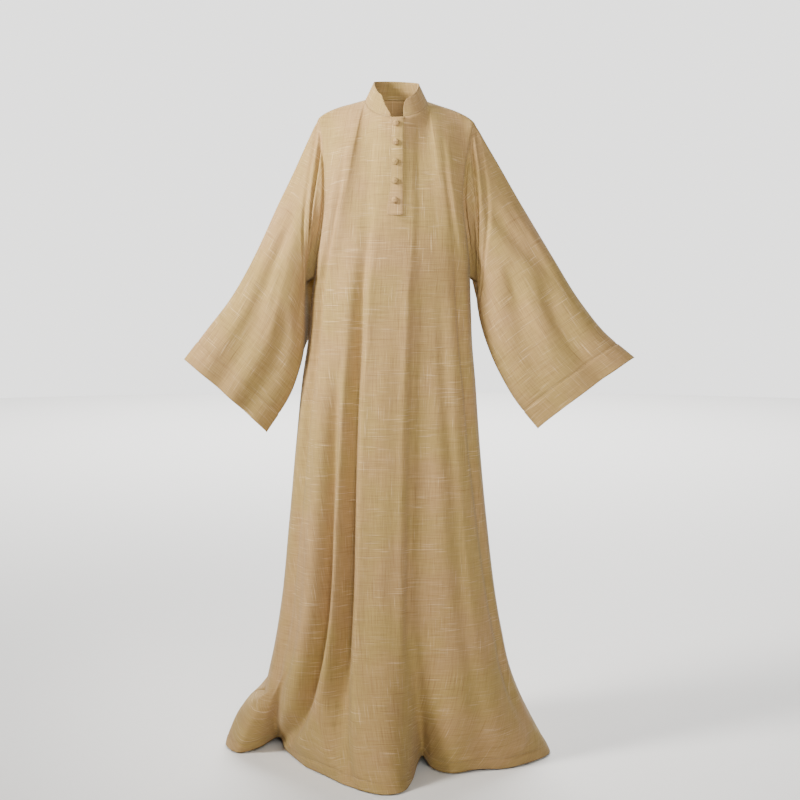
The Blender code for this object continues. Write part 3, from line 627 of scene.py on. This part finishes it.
class Finish:
    def __init__(self, name):
        self.material = bpy.data.materials.new(name)
        self.material.use_nodes = True
        self.tree = self.material.node_tree
        self.tree.nodes.clear()

    # any node from its type, its settings and the values or wires of its sockets
    def node(self, kind, settings=None, sockets=None, output=0):
        made = self.tree.nodes.new(kind)
        for key, value in (settings or {}).items():
            setattr(made, key, value)
        for key, value in (sockets or {}).items():
            if isinstance(value, Wire):
                self.tree.links.new(value.socket, made.inputs[key])
            else:
                made.inputs[key].default_value = value
        return Wire(self, made.outputs[output])

    def split(self, vector):
        parts = self.node("ShaderNodeSeparateXYZ", None, {0: vector}).socket.node
        return [Wire(self, parts.outputs[k]) for k in range(3)]

    def noise(self, u, v, w, detail=1.0):
        spot = self.node("ShaderNodeCombineXYZ", None, {0: u, 1: v, 2: w})
        return self.node("ShaderNodeTexNoise", None,
                         {"Vector": spot, "Scale": 1.0, "Detail": detail, "Roughness": 0.55})

    def blend(self, share, first, second, way="MIX"):
        return self.node("ShaderNodeMix", {"data_type": "RGBA", "blend_type": way},
                         {0: share, 6: first, 7: second}, output=2)

    # the surface shader with a bump of a height and distance; constants are its other sockets
    def close(self, colour, roughness, height, distance, **constants):
        bump = {"Strength": 1.0, "Distance": distance, "Height": height}
        normal = self.node("ShaderNodeBump", None, bump)
        sockets = {"Base Color": colour, "Roughness": roughness, "Normal": normal}
        sockets.update({key.replace("_", " "): value for key, value in constants.items()})
        shader = self.node("ShaderNodeBsdfPrincipled", None, sockets)
        surface = self.tree.nodes.new("ShaderNodeOutputMaterial").inputs["Surface"]
        self.tree.links.new(shader.socket, surface)
        return self.material


linen = {
    "colour": (0.332, 0.213, 0.079, 1.0),
    "pinkish": (0.338, 0.210, 0.087, 1.0),
    "olive": (0.320, 0.215, 0.072, 1.0),
    "slub": (0.600, 0.420, 0.220, 1.0),
    "gap": (0.220, 0.125, 0.048, 1.0),
    "slubLength": 0.060,
    "slubWidth": 0.0023,
    "threadWidth": 0.0013,
    "threadRun": 0.050,
    "weavePitch": 0.0016,
    "slubShare": 0.60,
    "gapShare": 0.40,
    "weftBand": (0.60, 0.72),
    "warpBand": (0.62, 0.74),
    "gapBand": (0.58, 0.74),
    "gapStretch": 1.2,
    "weftPatch": (0.085, 0.060),
    "weftPatchBand": (0.40, 0.62),
    "weftShares": (0.8, 0.2),
    "warpPatch": (0.070, 0.095),
    "warpPatchBand": (0.42, 0.64),
    "warpShares": (0.7, 0.15),
    "drift": (0.115, 0.145),
    "pinkishBand": (0.38, 0.52),
    "oliveBand": (0.50, 0.64),
    "toneBase": 0.45,
    "threadTone": 0.55,
    "weaveTone": 0.02,
    "bump": 0.00045,
    "slubRise": 0.55,
    "gapSink": 0.30,
    "threadRise": 0.45,
    "weaveRise": 0.16,
    "roughness": 0.90,
    "slubShine": 0.08,
    "sheen": 0.07,
    "sheenRoughness": 0.45,
    "specular": 0.22,
}


# slub linen in plain weave: long thick-and-thin threads along both grains of the cloth. Each streak is a
# noise stretched along one grain; only its crests show, and only in patches. The last number of each noise
# is a layer of its own.
def makeLinen(name, look):
    cloth = Finish(name)
    u, v, _ = cloth.split(cloth.node("ShaderNodeUVMap", {"uv_map": "grain"}))

    def streaks(uSize, vSize, layer, detail=1.0):
        return cloth.noise(u / uSize, v / vSize, layer, detail)

    longer, wide = look["slubLength"], look["slubWidth"]
    width, run, pitch = look["threadWidth"], look["threadRun"], look["weavePitch"]
    weft = streaks(longer, wide, 1.3).between(*look["weftBand"])
    warp = streaks(wide, longer, 5.7).between(*look["warpBand"])
    weftPatches = streaks(*look["weftPatch"], 9.1, 2.0).between(*look["weftPatchBand"])
    warpPatches = streaks(*look["warpPatch"], 14.9, 2.0).between(*look["warpPatchBand"])
    (weftPatchy, weftEven), (warpPatchy, warpEven) = look["weftShares"], look["warpShares"]
    slubs = weft * (weftPatches * weftPatchy + weftEven) + warp * (warpPatches * warpPatchy + warpEven)
    gapLength = longer * look["gapStretch"]
    gaps = (streaks(gapLength, wide, 21.3).between(*look["gapBand"])
            + streaks(wide, gapLength, 27.7).between(*look["gapBand"]))
    threads = streaks(run, width, 33.1) + streaks(width, run, 38.9)
    weave = (u * (math.tau / pitch)).sine() * (v * (math.tau / pitch)).sine()
    drift = streaks(*look["drift"], 44.3, 2.0)
    colour = cloth.blend(drift.between(*look["pinkishBand"]), look["pinkish"], look["colour"])
    colour = cloth.blend(drift.between(*look["oliveBand"]), colour, look["olive"])
    colour = cloth.blend(slubs * look["slubShare"], colour, look["slub"])
    colour = cloth.blend(gaps * look["gapShare"], colour, look["gap"])
    tone = threads * look["threadTone"] + look["toneBase"] + weave * look["weaveTone"]
    grey = cloth.node("ShaderNodeCombineXYZ", None, {0: tone, 1: tone, 2: tone})
    height = (slubs * look["slubRise"] - gaps * look["gapSink"]
              + threads * look["threadRise"] + weave * look["weaveRise"])
    colour = cloth.blend(1.0, colour, grey, "MULTIPLY")
    roughness = look["roughness"] - slubs * look["slubShine"]
    return cloth.close(colour, roughness, height, look["bump"], Sheen_Weight=look["sheen"],
                       Sheen_Roughness=look["sheenRoughness"], Specular_IOR_Level=look["specular"])


sewingCotton = {
    "colour": (0.40, 0.285, 0.160, 1.0),
    "darkShare": 0.7,
    "fibres": 900,
    "fibreBand": (0.35, 0.65),
    "roughness": 0.7,
    "roughnessRange": 0.2,
    "bump": 0.0001,
    "specular": 0.3,
}


# sewing thread: fine fibres a little darker and lighter than its colour
def makeThread(name, look):
    cotton = Finish(name)
    x, y, z = cotton.split(cotton.node("ShaderNodeTexCoord", output=3))
    fine = look["fibres"]
    fibres = cotton.noise(x * fine, y * fine, z * fine, 2.0)
    dark = tuple(part * look["darkShare"] for part in look["colour"][:3]) + (1.0,)
    colour = cotton.blend(fibres.between(*look["fibreBand"]), dark, look["colour"])
    roughness = look["roughness"] + fibres * look["roughnessRange"]
    return cotton.close(colour, roughness, fibres, look["bump"], Specular_IOR_Level=look["specular"])


clothMaterial = makeLinen("slubLinen", linen)
threadMaterial = makeThread("sewingThread", sewingCotton)
print("materials made")


# a line on a grid at a fixed distance from its lower edge, worked out column by column
def lineAbove(points, normals, distance):
    toEdge = runLength(points, 0)
    toEdge = toEdge[-1] - toEdge
    row = np.argmin(np.abs(toEdge - distance), axis=0)
    row = np.clip(row, 1, points.shape[0] - 2)
    column = np.arange(points.shape[1])
    near, far = toEdge[row - 1, column], toEdge[row + 1, column]
    share = limit((near - distance) / (near - far))[:, None]
    mixed = points[row - 1, column] * (1 - share) + points[row + 1, column] * share
    return mixed, unit(normals[row, column])


leftPlaces, leftTop = frontColumns(-1)
rightPlaces, rightTop = frontColumns(1)
frontPlaces = np.concatenate((leftPlaces, rightPlaces[1:]))
frontTop = np.concatenate((leftTop, rightTop[1:]))
middle = len(leftPlaces) - 1
frontSmooth = panelGrid("front", frontPanel, frontPlaces, frontTop)
frontPoints, frontNormals, frontGrain = dressPanel(frontSmooth, 1, frontPanel, middle)
slitRows = frontPanel["slitSteps"] * body["fineness"]
leftHalf, rightHalf = frontPoints[:, :middle + 1].copy(), frontPoints[:, middle:].copy()
leftHalf[:slitRows, -1, 0] -= frontPanel["slitHalfWidth"]
rightHalf[:slitRows, 0, 0] += frontPanel["slitHalfWidth"]
frontHalves = (leftHalf, frontGrain[:, :middle + 1]), (rightHalf, frontGrain[:, middle:])
frontCloth = clothMesh("frontPanelCloth", frontHalves, clothMaterial)
addWall(frontCloth, frontPanel["wall"])
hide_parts("front_panel")
print("front panel made")

backPlaces, backTop = backColumns()
backSmooth = panelGrid("back", backPanel, backPlaces, backTop)
backPoints, backNormals, backGrain = dressPanel(backSmooth, -1, backPanel, len(backPlaces) // 2)
backCloth = clothMesh("backPanelCloth", ((backPoints, backGrain),), clothMaterial, -1)
addWall(backCloth, backPanel["wall"])
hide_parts("back_panel")
print("back panel made")

sleeveLeft = {
    "wall": 0.0012,
    "cuffDepth": 0.050,
    "cuffRise": 0.011,
    "rings": tableOf(
        "along topX topZ lowX lowZ lowForward forward front back tuck",
        (0, 0.1705, -0.0385, 0.1815, -0.385, 0, 0, 0.054, 0.049, 0),
        (0.07, 0.195, -0.088, 0.201, -0.397, 0.001, 0.002, 0.056, 0.051, 0.002),
        (0.15, 0.222, -0.148, 0.2045, -0.412, 0.003, 0.004, 0.059, 0.053, 0.007),
        (0.3, 0.26, -0.226, 0.2035, -0.437, 0.008, 0.008, 0.062, 0.056, 0.018),
        (0.45, 0.295, -0.3, 0.2015, -0.47, 0.014, 0.013, 0.062, 0.056, 0.026),
        (0.6, 0.331, -0.37, 0.203, -0.518, 0.017, 0.018, 0.06, 0.055, 0.022),
        (0.75, 0.371, -0.436, 0.214, -0.582, 0.012, 0.024, 0.057, 0.052, 0.004),
        (0.88, 0.416, -0.495, 0.24, -0.65, 0.004, 0.028, 0.053, 0.048, 0),
        (1, 0.469, -0.564, 0.289, -0.725, 0, 0.03, 0.046, 0.044, 0),
    ),
    "folds": tableOf(
        "startTurn endTurn start end width depth",
        (54, 82, 0.18, 1, 15, 0.015),
        (112, 120, 0.5, 1, 15, 0.012),
        (146, 140, 0.05, 0.6, 15, 0.009),
        (252, 262, 0.3, 1, 17, 0.014),
        (306, 292, 0.12, 0.8, 16, 0.01),
    ),
    "fineFolds": tableOf(
        "startTurn endTurn start end width depth",
        (-48, 200, -0.1, 0.26, 9, 0.017),
        (-66, 182, -0.14, 0.38, 9, 0.005),
        (80, 92, 0.3, 0.78, 6, 0.003),
        (60, 66, 0.55, 0.95, 5, 0.003),
        (36, 40, 0.1, 0.6, 6, 0.0018),
        (238, 244, 0.05, 0.55, 5, 0.004),
        (280, 276, 0.2, 0.9, 6, 0.003),
        (330, 322, 0.08, 0.5, 6, 0.002),
    ),
}

sleeveRight = {
    "wall": 0.0012,
    "cuffDepth": 0.050,
    "cuffRise": 0.012,
    "rings": tableOf(
        "along topX topZ lowX lowZ lowForward forward front back tuck",
        (0, 0.1705, -0.0385, 0.1625, -0.385, 0, 0, 0.054, 0.049, 0),
        (0.07, 0.199, -0.088, 0.179, -0.398, 0.001, 0.002, 0.056, 0.051, 0.002),
        (0.15, 0.233, -0.146, 0.1805, -0.415, 0.003, 0.004, 0.059, 0.053, 0.01),
        (0.3, 0.28, -0.228, 0.181, -0.442, 0.006, 0.008, 0.062, 0.056, 0.014),
        (0.45, 0.323, -0.304, 0.1865, -0.48, 0.008, 0.013, 0.062, 0.056, 0.003),
        (0.6, 0.367, -0.376, 0.2005, -0.528, 0.008, 0.018, 0.06, 0.055, 0),
        (0.75, 0.412, -0.444, 0.226, -0.588, 0.004, 0.024, 0.057, 0.052, 0),
        (0.88, 0.461, -0.505, 0.265, -0.655, 0.002, 0.028, 0.053, 0.048, 0),
        (1, 0.526, -0.56, 0.315, -0.717, 0, 0.03, 0.046, 0.044, 0),
    ),
    "folds": tableOf(
        "startTurn endTurn start end width depth",
        (70, 40, 0.1, 0.55, 15, 0.011),
        (54, 72, 0.48, 1, 15, 0.014),
        (84, 120, 0.34, 0.92, 15, 0.013),
        (146, 140, 0.05, 0.5, 15, 0.009),
        (246, 256, 0.28, 1, 17, 0.014),
        (304, 292, 0.12, 0.8, 16, 0.01),
    ),
    "fineFolds": tableOf(
        "startTurn endTurn start end width depth",
        (-48, 200, -0.1, 0.26, 9, 0.017),
        (-66, 182, -0.14, 0.38, 9, 0.005),
        (88, 98, 0.3, 0.8, 6, 0.0028),
        (64, 70, 0.55, 0.98, 5, 0.0028),
        (34, 40, 0.12, 0.6, 6, 0.0018),
        (240, 246, 0.05, 0.55, 5, 0.004),
        (282, 276, 0.2, 0.9, 6, 0.003),
        (328, 322, 0.08, 0.5, 6, 0.002),
    ),
}


# push of folds along a sleeve at a turn in degrees round it and a share of its length
def sleevePush(folds, degrees, along):
    push = 0.0
    for startTurn, endTurn, start, end, width, depth in zip(*folds.values()):
        gone = limit((along - start) / (end - start))
        away = (degrees - startTurn - (endTurn - startTurn) * gone) / width
        strength = ease((along - start) / sleeveForm["foldOnset"]) * depth
        if end < 1.0:
            close = sleeveForm["foldEnd"]
            strength = strength * (1 - ease((along - end + close) / (2 * close)))
        push = push - strength * trough(away)
    return push


sleeveForm = {
    "fullness": 0.15,
    "foldOnset": 0.18,
    "foldEnd": 0.12,
    "cuffRiseStart": 0.7,
    "armholeReach": 0.60,
    "tuckSideTurn": 218,
    "tuckSideSpread": 18,
    "tuckBackTurn": 207,
    "tuckBackSpread": 26,
    "tuckBack": 2.0,
    "grooveAt": 0.007,
    "grooveWidth": 0.0045,
    "grooveDepth": 0.0060,
    "edgeRows": 20,
    "edgeEnd": 0.05,
    "cuffRows": 32,
    "rows": 112,
    "cuffStart": 0.88,
    "armholePuff": 0.0006,
    "swell": 0.17,
    "seed": 11,
}


# rings from the armhole to the cuff: a flattened oval between the upper and lower edge, opened along the
# underarm seam, tucked in behind it, and near the armhole with the outline of the armhole seam
def sleeveGrid(side, piece):
    turn = np.linspace(-np.pi, np.pi, 2 * armholeRows + 1)
    form = sleeveForm
    along = np.concatenate((np.linspace(0.0, form["edgeEnd"], form["edgeRows"]),
                            np.linspace(form["edgeEnd"], form["cuffStart"], form["rows"])[1:],
                            np.linspace(form["cuffStart"], 1.0, form["cuffRows"] + 1)[1:]))[:, None]
    topX, topZ, lowX, lowZ, lowForward, forward, front, back, tuck = columnsAt(piece["rings"], along)
    degrees = np.degrees(turn) % 360
    down = (1 - np.cos(turn)) / 2
    depth = np.where(turn > 0, front, back) * np.sin(turn) * (1 + form["fullness"] * np.cos(turn))
    push = sleevePush(piece["folds"], degrees, along)
    acrossX, acrossZ = topX - lowX, topZ - lowZ
    reach = np.hypot(acrossX, acrossZ)
    ringX = topX + (lowX - topX) * down + push * np.cos(turn) * acrossX / reach
    ringZ = topZ + (lowZ - topZ) * down + push * np.cos(turn) * acrossZ / reach
    behind = limit(-np.sin(turn))
    ringY = -forward - lowForward * down ** 3 * (1 - behind) - depth - push * np.sin(turn)
    rise = ease((along - form["cuffRiseStart"]) / (1 - form["cuffRiseStart"]))
    ringZ = ringZ + rise * piece["cuffRise"] * limit(np.sin(turn))
    ringX = ringX - tuck * bell((degrees - form["tuckSideTurn"]) / form["tuckSideSpread"])
    backward = bell((degrees - form["tuckBackTurn"]) / form["tuckBackSpread"])
    ringY = ringY + form["tuckBack"] * tuck * backward
    ring = np.stack((side * ringX, ringY, ringZ), -1)
    seamAlong = np.abs(turn) / np.pi
    frontSeam, backSeam = armholeSeam(side, "front", seamAlong), armholeSeam(side, "back", seamAlong)
    seam = tilt(np.where((turn >= 0)[:, None], frontSeam, backSeam), 1 - seamAlong)
    points = ring + (seam - ring[0]) * (1 - ease(along / form["armholeReach"]))[..., None]
    normals = gridNormals(points, -side)
    ends = unit(normals[:, :1] + normals[:, -1:])
    normals[:, :1], normals[:, -1:] = ends, ends
    across, length = runLength(points, 1), runLength(points, 0)
    top = len(turn) // 2
    grain = np.stack((across - across[:, top:top + 1], length[-1:] - length), -1)
    toSeam, toCuff = np.minimum(across, across[:, -1:] - across), length[-1:] - length
    calm = seamCalm(toSeam, length)
    lift = sleevePush(piece["fineFolds"], degrees, along)
    lift = lift + swell(grain[..., 0], grain[..., 1], form["swell"], form["seed"] + side)
    groove = bell((length - form["grooveAt"]) / form["grooveWidth"]) * np.abs(np.sin(turn))
    lift = lift * calm - form["grooveDepth"] * groove + puff(toSeam) + puff(length, form["armholePuff"])
    lift = lift + hemRelief(toCuff, piece["cuffDepth"])
    return points + normals * lift[..., None], normals, grain


sleeves = {}
for side, nodeName, pieceName, piece in ((-1, "sleeve_left", "sleeveLeftCloth", sleeveLeft),
                                         (1, "sleeve_right", "sleeveRightCloth", sleeveRight)):
    points, normals, grain = sleeveGrid(side, piece)
    sleeve = clothMesh(pieceName, ((points, grain),), clothMaterial, -side)
    addWall(sleeve, piece["wall"])
    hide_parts(nodeName)
    sleeves[side] = (sleeve, points, normals)
print("sleeves made")

collar = {
    "wall": 0.0026,
    "height": 0.039,
    "lean": 0.019,
    "endHeight": 0.005,
    "roundEnd": 0.020,
    "pointedEnd": 0.036,
    "pointedPower": 0.85,
    "roundEdge": 0.0007,
    "rows": 14,
}


# the band stands on the neckline, leans in and falls away to its rounded front ends
def collarGrid(piece):
    shoulderColumn = body["shoulderSteps"] * body["fineness"]
    gapColumns = body["fineness"]
    right = frontSmooth[0, middle + gapColumns:-shoulderColumn]
    left = frontSmooth[0, shoulderColumn:middle - gapColumns + 1]
    behind = backSmooth[0, shoulderColumn:-shoulderColumn]
    foot = np.concatenate((right, behind[::-1][1:-1], left))
    run = runLength(foot, 0)
    rightEnd = np.sqrt(1 - (1 - limit(run / piece["roundEnd"])) ** 2)
    leftEnd = limit((run[-1] - run) / piece["pointedEnd"]) ** piece["pointedPower"]
    height = piece["endHeight"] + (piece["height"] - piece["endHeight"]) * np.minimum(rightEnd, leftEnd)
    rise = np.linspace(0.0, 1.0, piece["rows"] + 1)[:, None, None]
    inward = -unit(foot * (1.0, 1.0, 0.0))
    lean = inward * piece["lean"] + np.array((0.0, 0.0, piece["height"]))
    points = foot + lean * rise * (height / piece["height"])[:, None]
    grain = np.stack((np.broadcast_to(run, points.shape[:2]), runLength(points, 0)), -1)
    return points, grain


collarPoints, collarGrain = collarGrid(collar)
collarCloth = clothMesh("collarCloth", ((collarPoints, collarGrain),), clothMaterial, -1)
addWall(collarCloth, collar["wall"], collar["roundEdge"])
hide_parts("collar")
print("collar made")

placket = {
    "wall": 0.0016,
    "flush": 0.0003,
    "lift": 0.0024,
    "liftRun": 0.8,
    "grainShift": (0.31, 0.17),
    "roundEdge": 0.0005,
    "steps": 6,
    "edgeStitch": 0.0030,
    "footPoints": 9,
}


# the strip repeats the middle of the front panel, moved out by its own lift
def placketGrid(piece):
    step = body["fineness"]
    part = slice(piece["steps"] * step + 1), slice(middle - step, middle + step + 1)
    strip, out = frontSmooth[part], frontNormals[part]
    across = np.linspace(0.0, 1.0, strip.shape[1])[None, :, None]
    rise = piece["flush"] + (piece["lift"] - piece["flush"]) * ease(across / piece["liftRun"])
    return strip + out * rise, out, frontGrain[part] + piece["grainShift"]


placketPoints, placketNormals, placketGrain = placketGrid(placket)
placketCloth = clothMesh("placketCloth", ((placketPoints, placketGrain),), clothMaterial)
addWall(placketCloth, placket["wall"], placket["roundEdge"])
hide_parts("placket")
print("placket made")

button = {
    "radius": 0.0072,
    "height": 0.0052,
    "heights": (-0.051, -0.092, -0.134, -0.175, -0.216),
    "standOff": 0.0029,
    "slopeStep": 0.01,
    "sides": 40,
    "puckers": 9,
    "puckerDepth": 0.02,
    "puckerShift": 400,
    "puckerBelow": 0.5,
    "grainShift": (7.3, 3.1),
    "profile": tableOf(
        "radius height",
        (0, 0), (0.7, 0), (0.92, 0.08), (1, 0.24), (0.985, 0.4), (0.93, 0.56),
        (0.82, 0.72), (0.66, 0.85), (0.48, 0.93), (0.28, 0.98), (0.12, 0.998), (0, 1),
    ),
}


# a domed covered button: a profile of radius and height turned round the placket's outward normal
def buttonGrid(centre, out, piece):
    right = unit(np.cross((0.0, 0.0, 1.0), -out))
    up = np.cross(-out, right)
    turn = np.linspace(0.0, math.tau, piece["sides"] + 1)
    turn[-1] = 0.0
    circle = np.cos(turn)[:, None] * right + np.sin(turn)[:, None] * up
    radius, height = (column[:, None, None] for column in piece["profile"].values())
    ripple = np.sin(turn * piece["puckers"] + centre[2] * piece["puckerShift"])[:, None]
    pucker = 1 + piece["puckerDepth"] * ripple * (height < piece["puckerBelow"])
    points = centre + circle * (radius * piece["radius"]) * pucker + out * (height * piece["height"])
    flat = points - centre
    grain = np.stack((flat @ right, flat @ up), -1) + centre[2] * np.array(piece["grainShift"])
    return points, grain


middleLine = frontSmooth[:placketPoints.shape[0], middle][::-1]
for number, height in enumerate(button["heights"], start=1):
    centre, lower = pointsAt((height, height - button["slopeStep"]), middleLine[:, 2], middleLine)
    out = unit(np.cross((1.0, 0.0, 0.0), lower - centre))
    out = out if out[1] < 0 else -out
    points, grain = buttonGrid(centre + out * button["standOff"], out, button)
    cover = clothMesh(f"buttonCover{number}", ((points, grain),), clothMaterial, -1)
    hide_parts(f"button_{number}")
print("buttons made")

hemLines = [lineAbove(frontPoints, frontNormals, frontPanel["hemDepth"]),
            lineAbove(backPoints, backNormals, backPanel["hemDepth"])]
hemStitches = stitchMesh("hemStitches", hemLines)
cuffLines = [lineAbove(points, normals, sleeveLeft["cuffDepth"]) for _, points, normals in sleeves.values()]
cuffStitches = stitchMesh("cuffStitches", cuffLines)

# the placket's stitching: down its left edge, across its foot and up its free edge
edge = placket["edgeStitch"]
last = placketPoints.shape[1] - 1
inset = edge / np.linalg.norm(placketPoints[0, -1] - placketPoints[0, 0]) * last


# a line down the placket as far as its foot, at a place between two of its columns
def columnLine(position, foot):
    low = int(position)
    share = position - low
    line = placketPoints[:, low] * (1 - share) + placketPoints[:, min(low + 1, last)] * share
    return line[:foot + 1], placketNormals[:foot + 1, low]


rowStep = np.linalg.norm(placketPoints[-1, 0] - placketPoints[-2, 0])
foot = placketPoints.shape[0] - 1 - int(round(edge / rowStep))
footPlaces = np.linspace(inset, last - inset, placket["footPoints"])
footLine = pointsAt(footPlaces, np.arange(last + 1), placketPoints[foot])
placketLines = [columnLine(inset, foot), columnLine(last - inset, foot),
                (footLine, np.broadcast_to(placketNormals[foot, last // 2], footLine.shape))]
placketStitches = stitchMesh("placketStitches", placketLines)

collarNormals = gridNormals(collarPoints, -1)
collarLines = [(collarPoints[row], collarNormals[row]) for row in (1, -2)]
collarStitches = stitchMesh("collarStitches", collarLines)
print("sewing made")

studio = {
    "floorColour": (0.82, 0.81, 0.79, 1.0),
    "floorPaler": (0.8446, 0.8343, 0.8137, 1.0),
    "floorGrain": 30,
    "floorRoughness": 0.75,
    "floorRoughnessRange": 0.1,
    "floorBump": 0.0005,
    "floorRadius": 9,
    "floorSides": 96,
    "worldColour": (0.98, 0.975, 0.96, 1.0),
    "ambientStrength": 0.20,
    "backdropStrength": 2.3,
    "lens": 72.8,
    "sensor": 36.0,
    "cameraPlace": (0.008, -3.6, -0.31),
    "cameraTilt": 84.5,
}

warm, white = (1.0, 0.98, 0.94), (1.0, 1.0, 1.0)
lights = {
    "keyLight": {"place": (-2.3, -1.1, 0.9), "target": (0.0, 0.0, 0.0),
                 "width": 0.8, "power": 48.0, "colour": warm, "spread": 75.0},
    "fillLight": {"place": (0.6, -3.7, 1.0), "target": (0.0, 0.0, 0.05),
                  "width": 2.4, "power": 28.0, "colour": warm, "spread": 62.0},
    "floorLight": {"place": (0.0, 6.5, 4.2), "target": (0.0, 6.0, -1.46),
                   "width": 7.0, "power": 1500.0, "colour": white, "spread": 180.0},
}

floorFinish = Finish("paleFloor")
floorX, floorY, _ = floorFinish.split(floorFinish.node("ShaderNodeTexCoord", output=3))
floorGrain = floorFinish.noise(floorX * studio["floorGrain"], floorY * studio["floorGrain"], 0.5, 3.0)
floorMaterial = floorFinish.close(
    floorFinish.blend(floorGrain, studio["floorColour"], studio["floorPaler"]),
    studio["floorRoughness"] + floorGrain * studio["floorRoughnessRange"], floorGrain, studio["floorBump"])
turn = np.linspace(0, math.tau, studio["floorSides"], endpoint=False)
rim = np.stack((np.cos(turn) * studio["floorRadius"], np.sin(turn) * studio["floorRadius"],
                np.full_like(turn, body["floor"])), -1)
floorMesh = makeMesh("floor", rim, [list(range(len(turn)))])
floorMesh.materials.append(floorMaterial)
addObject("floor", floorMesh)

# the camera sees a bright backdrop, while the cloth is lit by a dimmer world
world = bpy.data.worlds.new("studio")
world.use_nodes = True
worldNodes = world.node_tree.nodes
ambient, backdrop = worldNodes["Background"], worldNodes.new("ShaderNodeBackground")
for light, strength in ((ambient, "ambientStrength"), (backdrop, "backdropStrength")):
    light.inputs["Color"].default_value = studio["worldColour"]
    light.inputs["Strength"].default_value = studio[strength]
ray, both = worldNodes.new("ShaderNodeLightPath"), worldNodes.new("ShaderNodeMixShader")
for source, target in ((ray.outputs["Is Camera Ray"], both.inputs[0]),
                       (ambient.outputs[0], both.inputs[1]),
                       (backdrop.outputs[0], both.inputs[2]),
                       (both.outputs[0], worldNodes["World Output"].inputs[0])):
    world.node_tree.links.new(source, target)
bpy.context.scene.world = world


# a round soft light at a place, turned towards its target
def areaLight(name, place, target, width, power, colour, spread):
    light = bpy.data.lights.new(name, "AREA")
    light.shape, light.size, light.energy, light.color = "DISK", width, power, colour
    light.spread = math.radians(spread)
    lamp = addObject(name, light)
    away = np.array(target) - np.array(place)
    steep = math.acos(-away[2] / np.linalg.norm(away))
    lamp.location = place
    lamp.rotation_euler = (steep, 0.0, math.atan2(away[1], away[0]) - math.pi / 2)


for name, values in lights.items():
    areaLight(name, **values)

cameraData = bpy.data.cameras.new("camera")
cameraData.lens, cameraData.sensor_width = studio["lens"], studio["sensor"]
cameraData.sensor_fit = "HORIZONTAL"
camera = addObject("camera", cameraData)
camera.location = studio["cameraPlace"]
camera.rotation_euler = (math.radians(studio["cameraTilt"]), 0.0, 0.0)
bpy.context.scene.camera = camera
print("studio made")
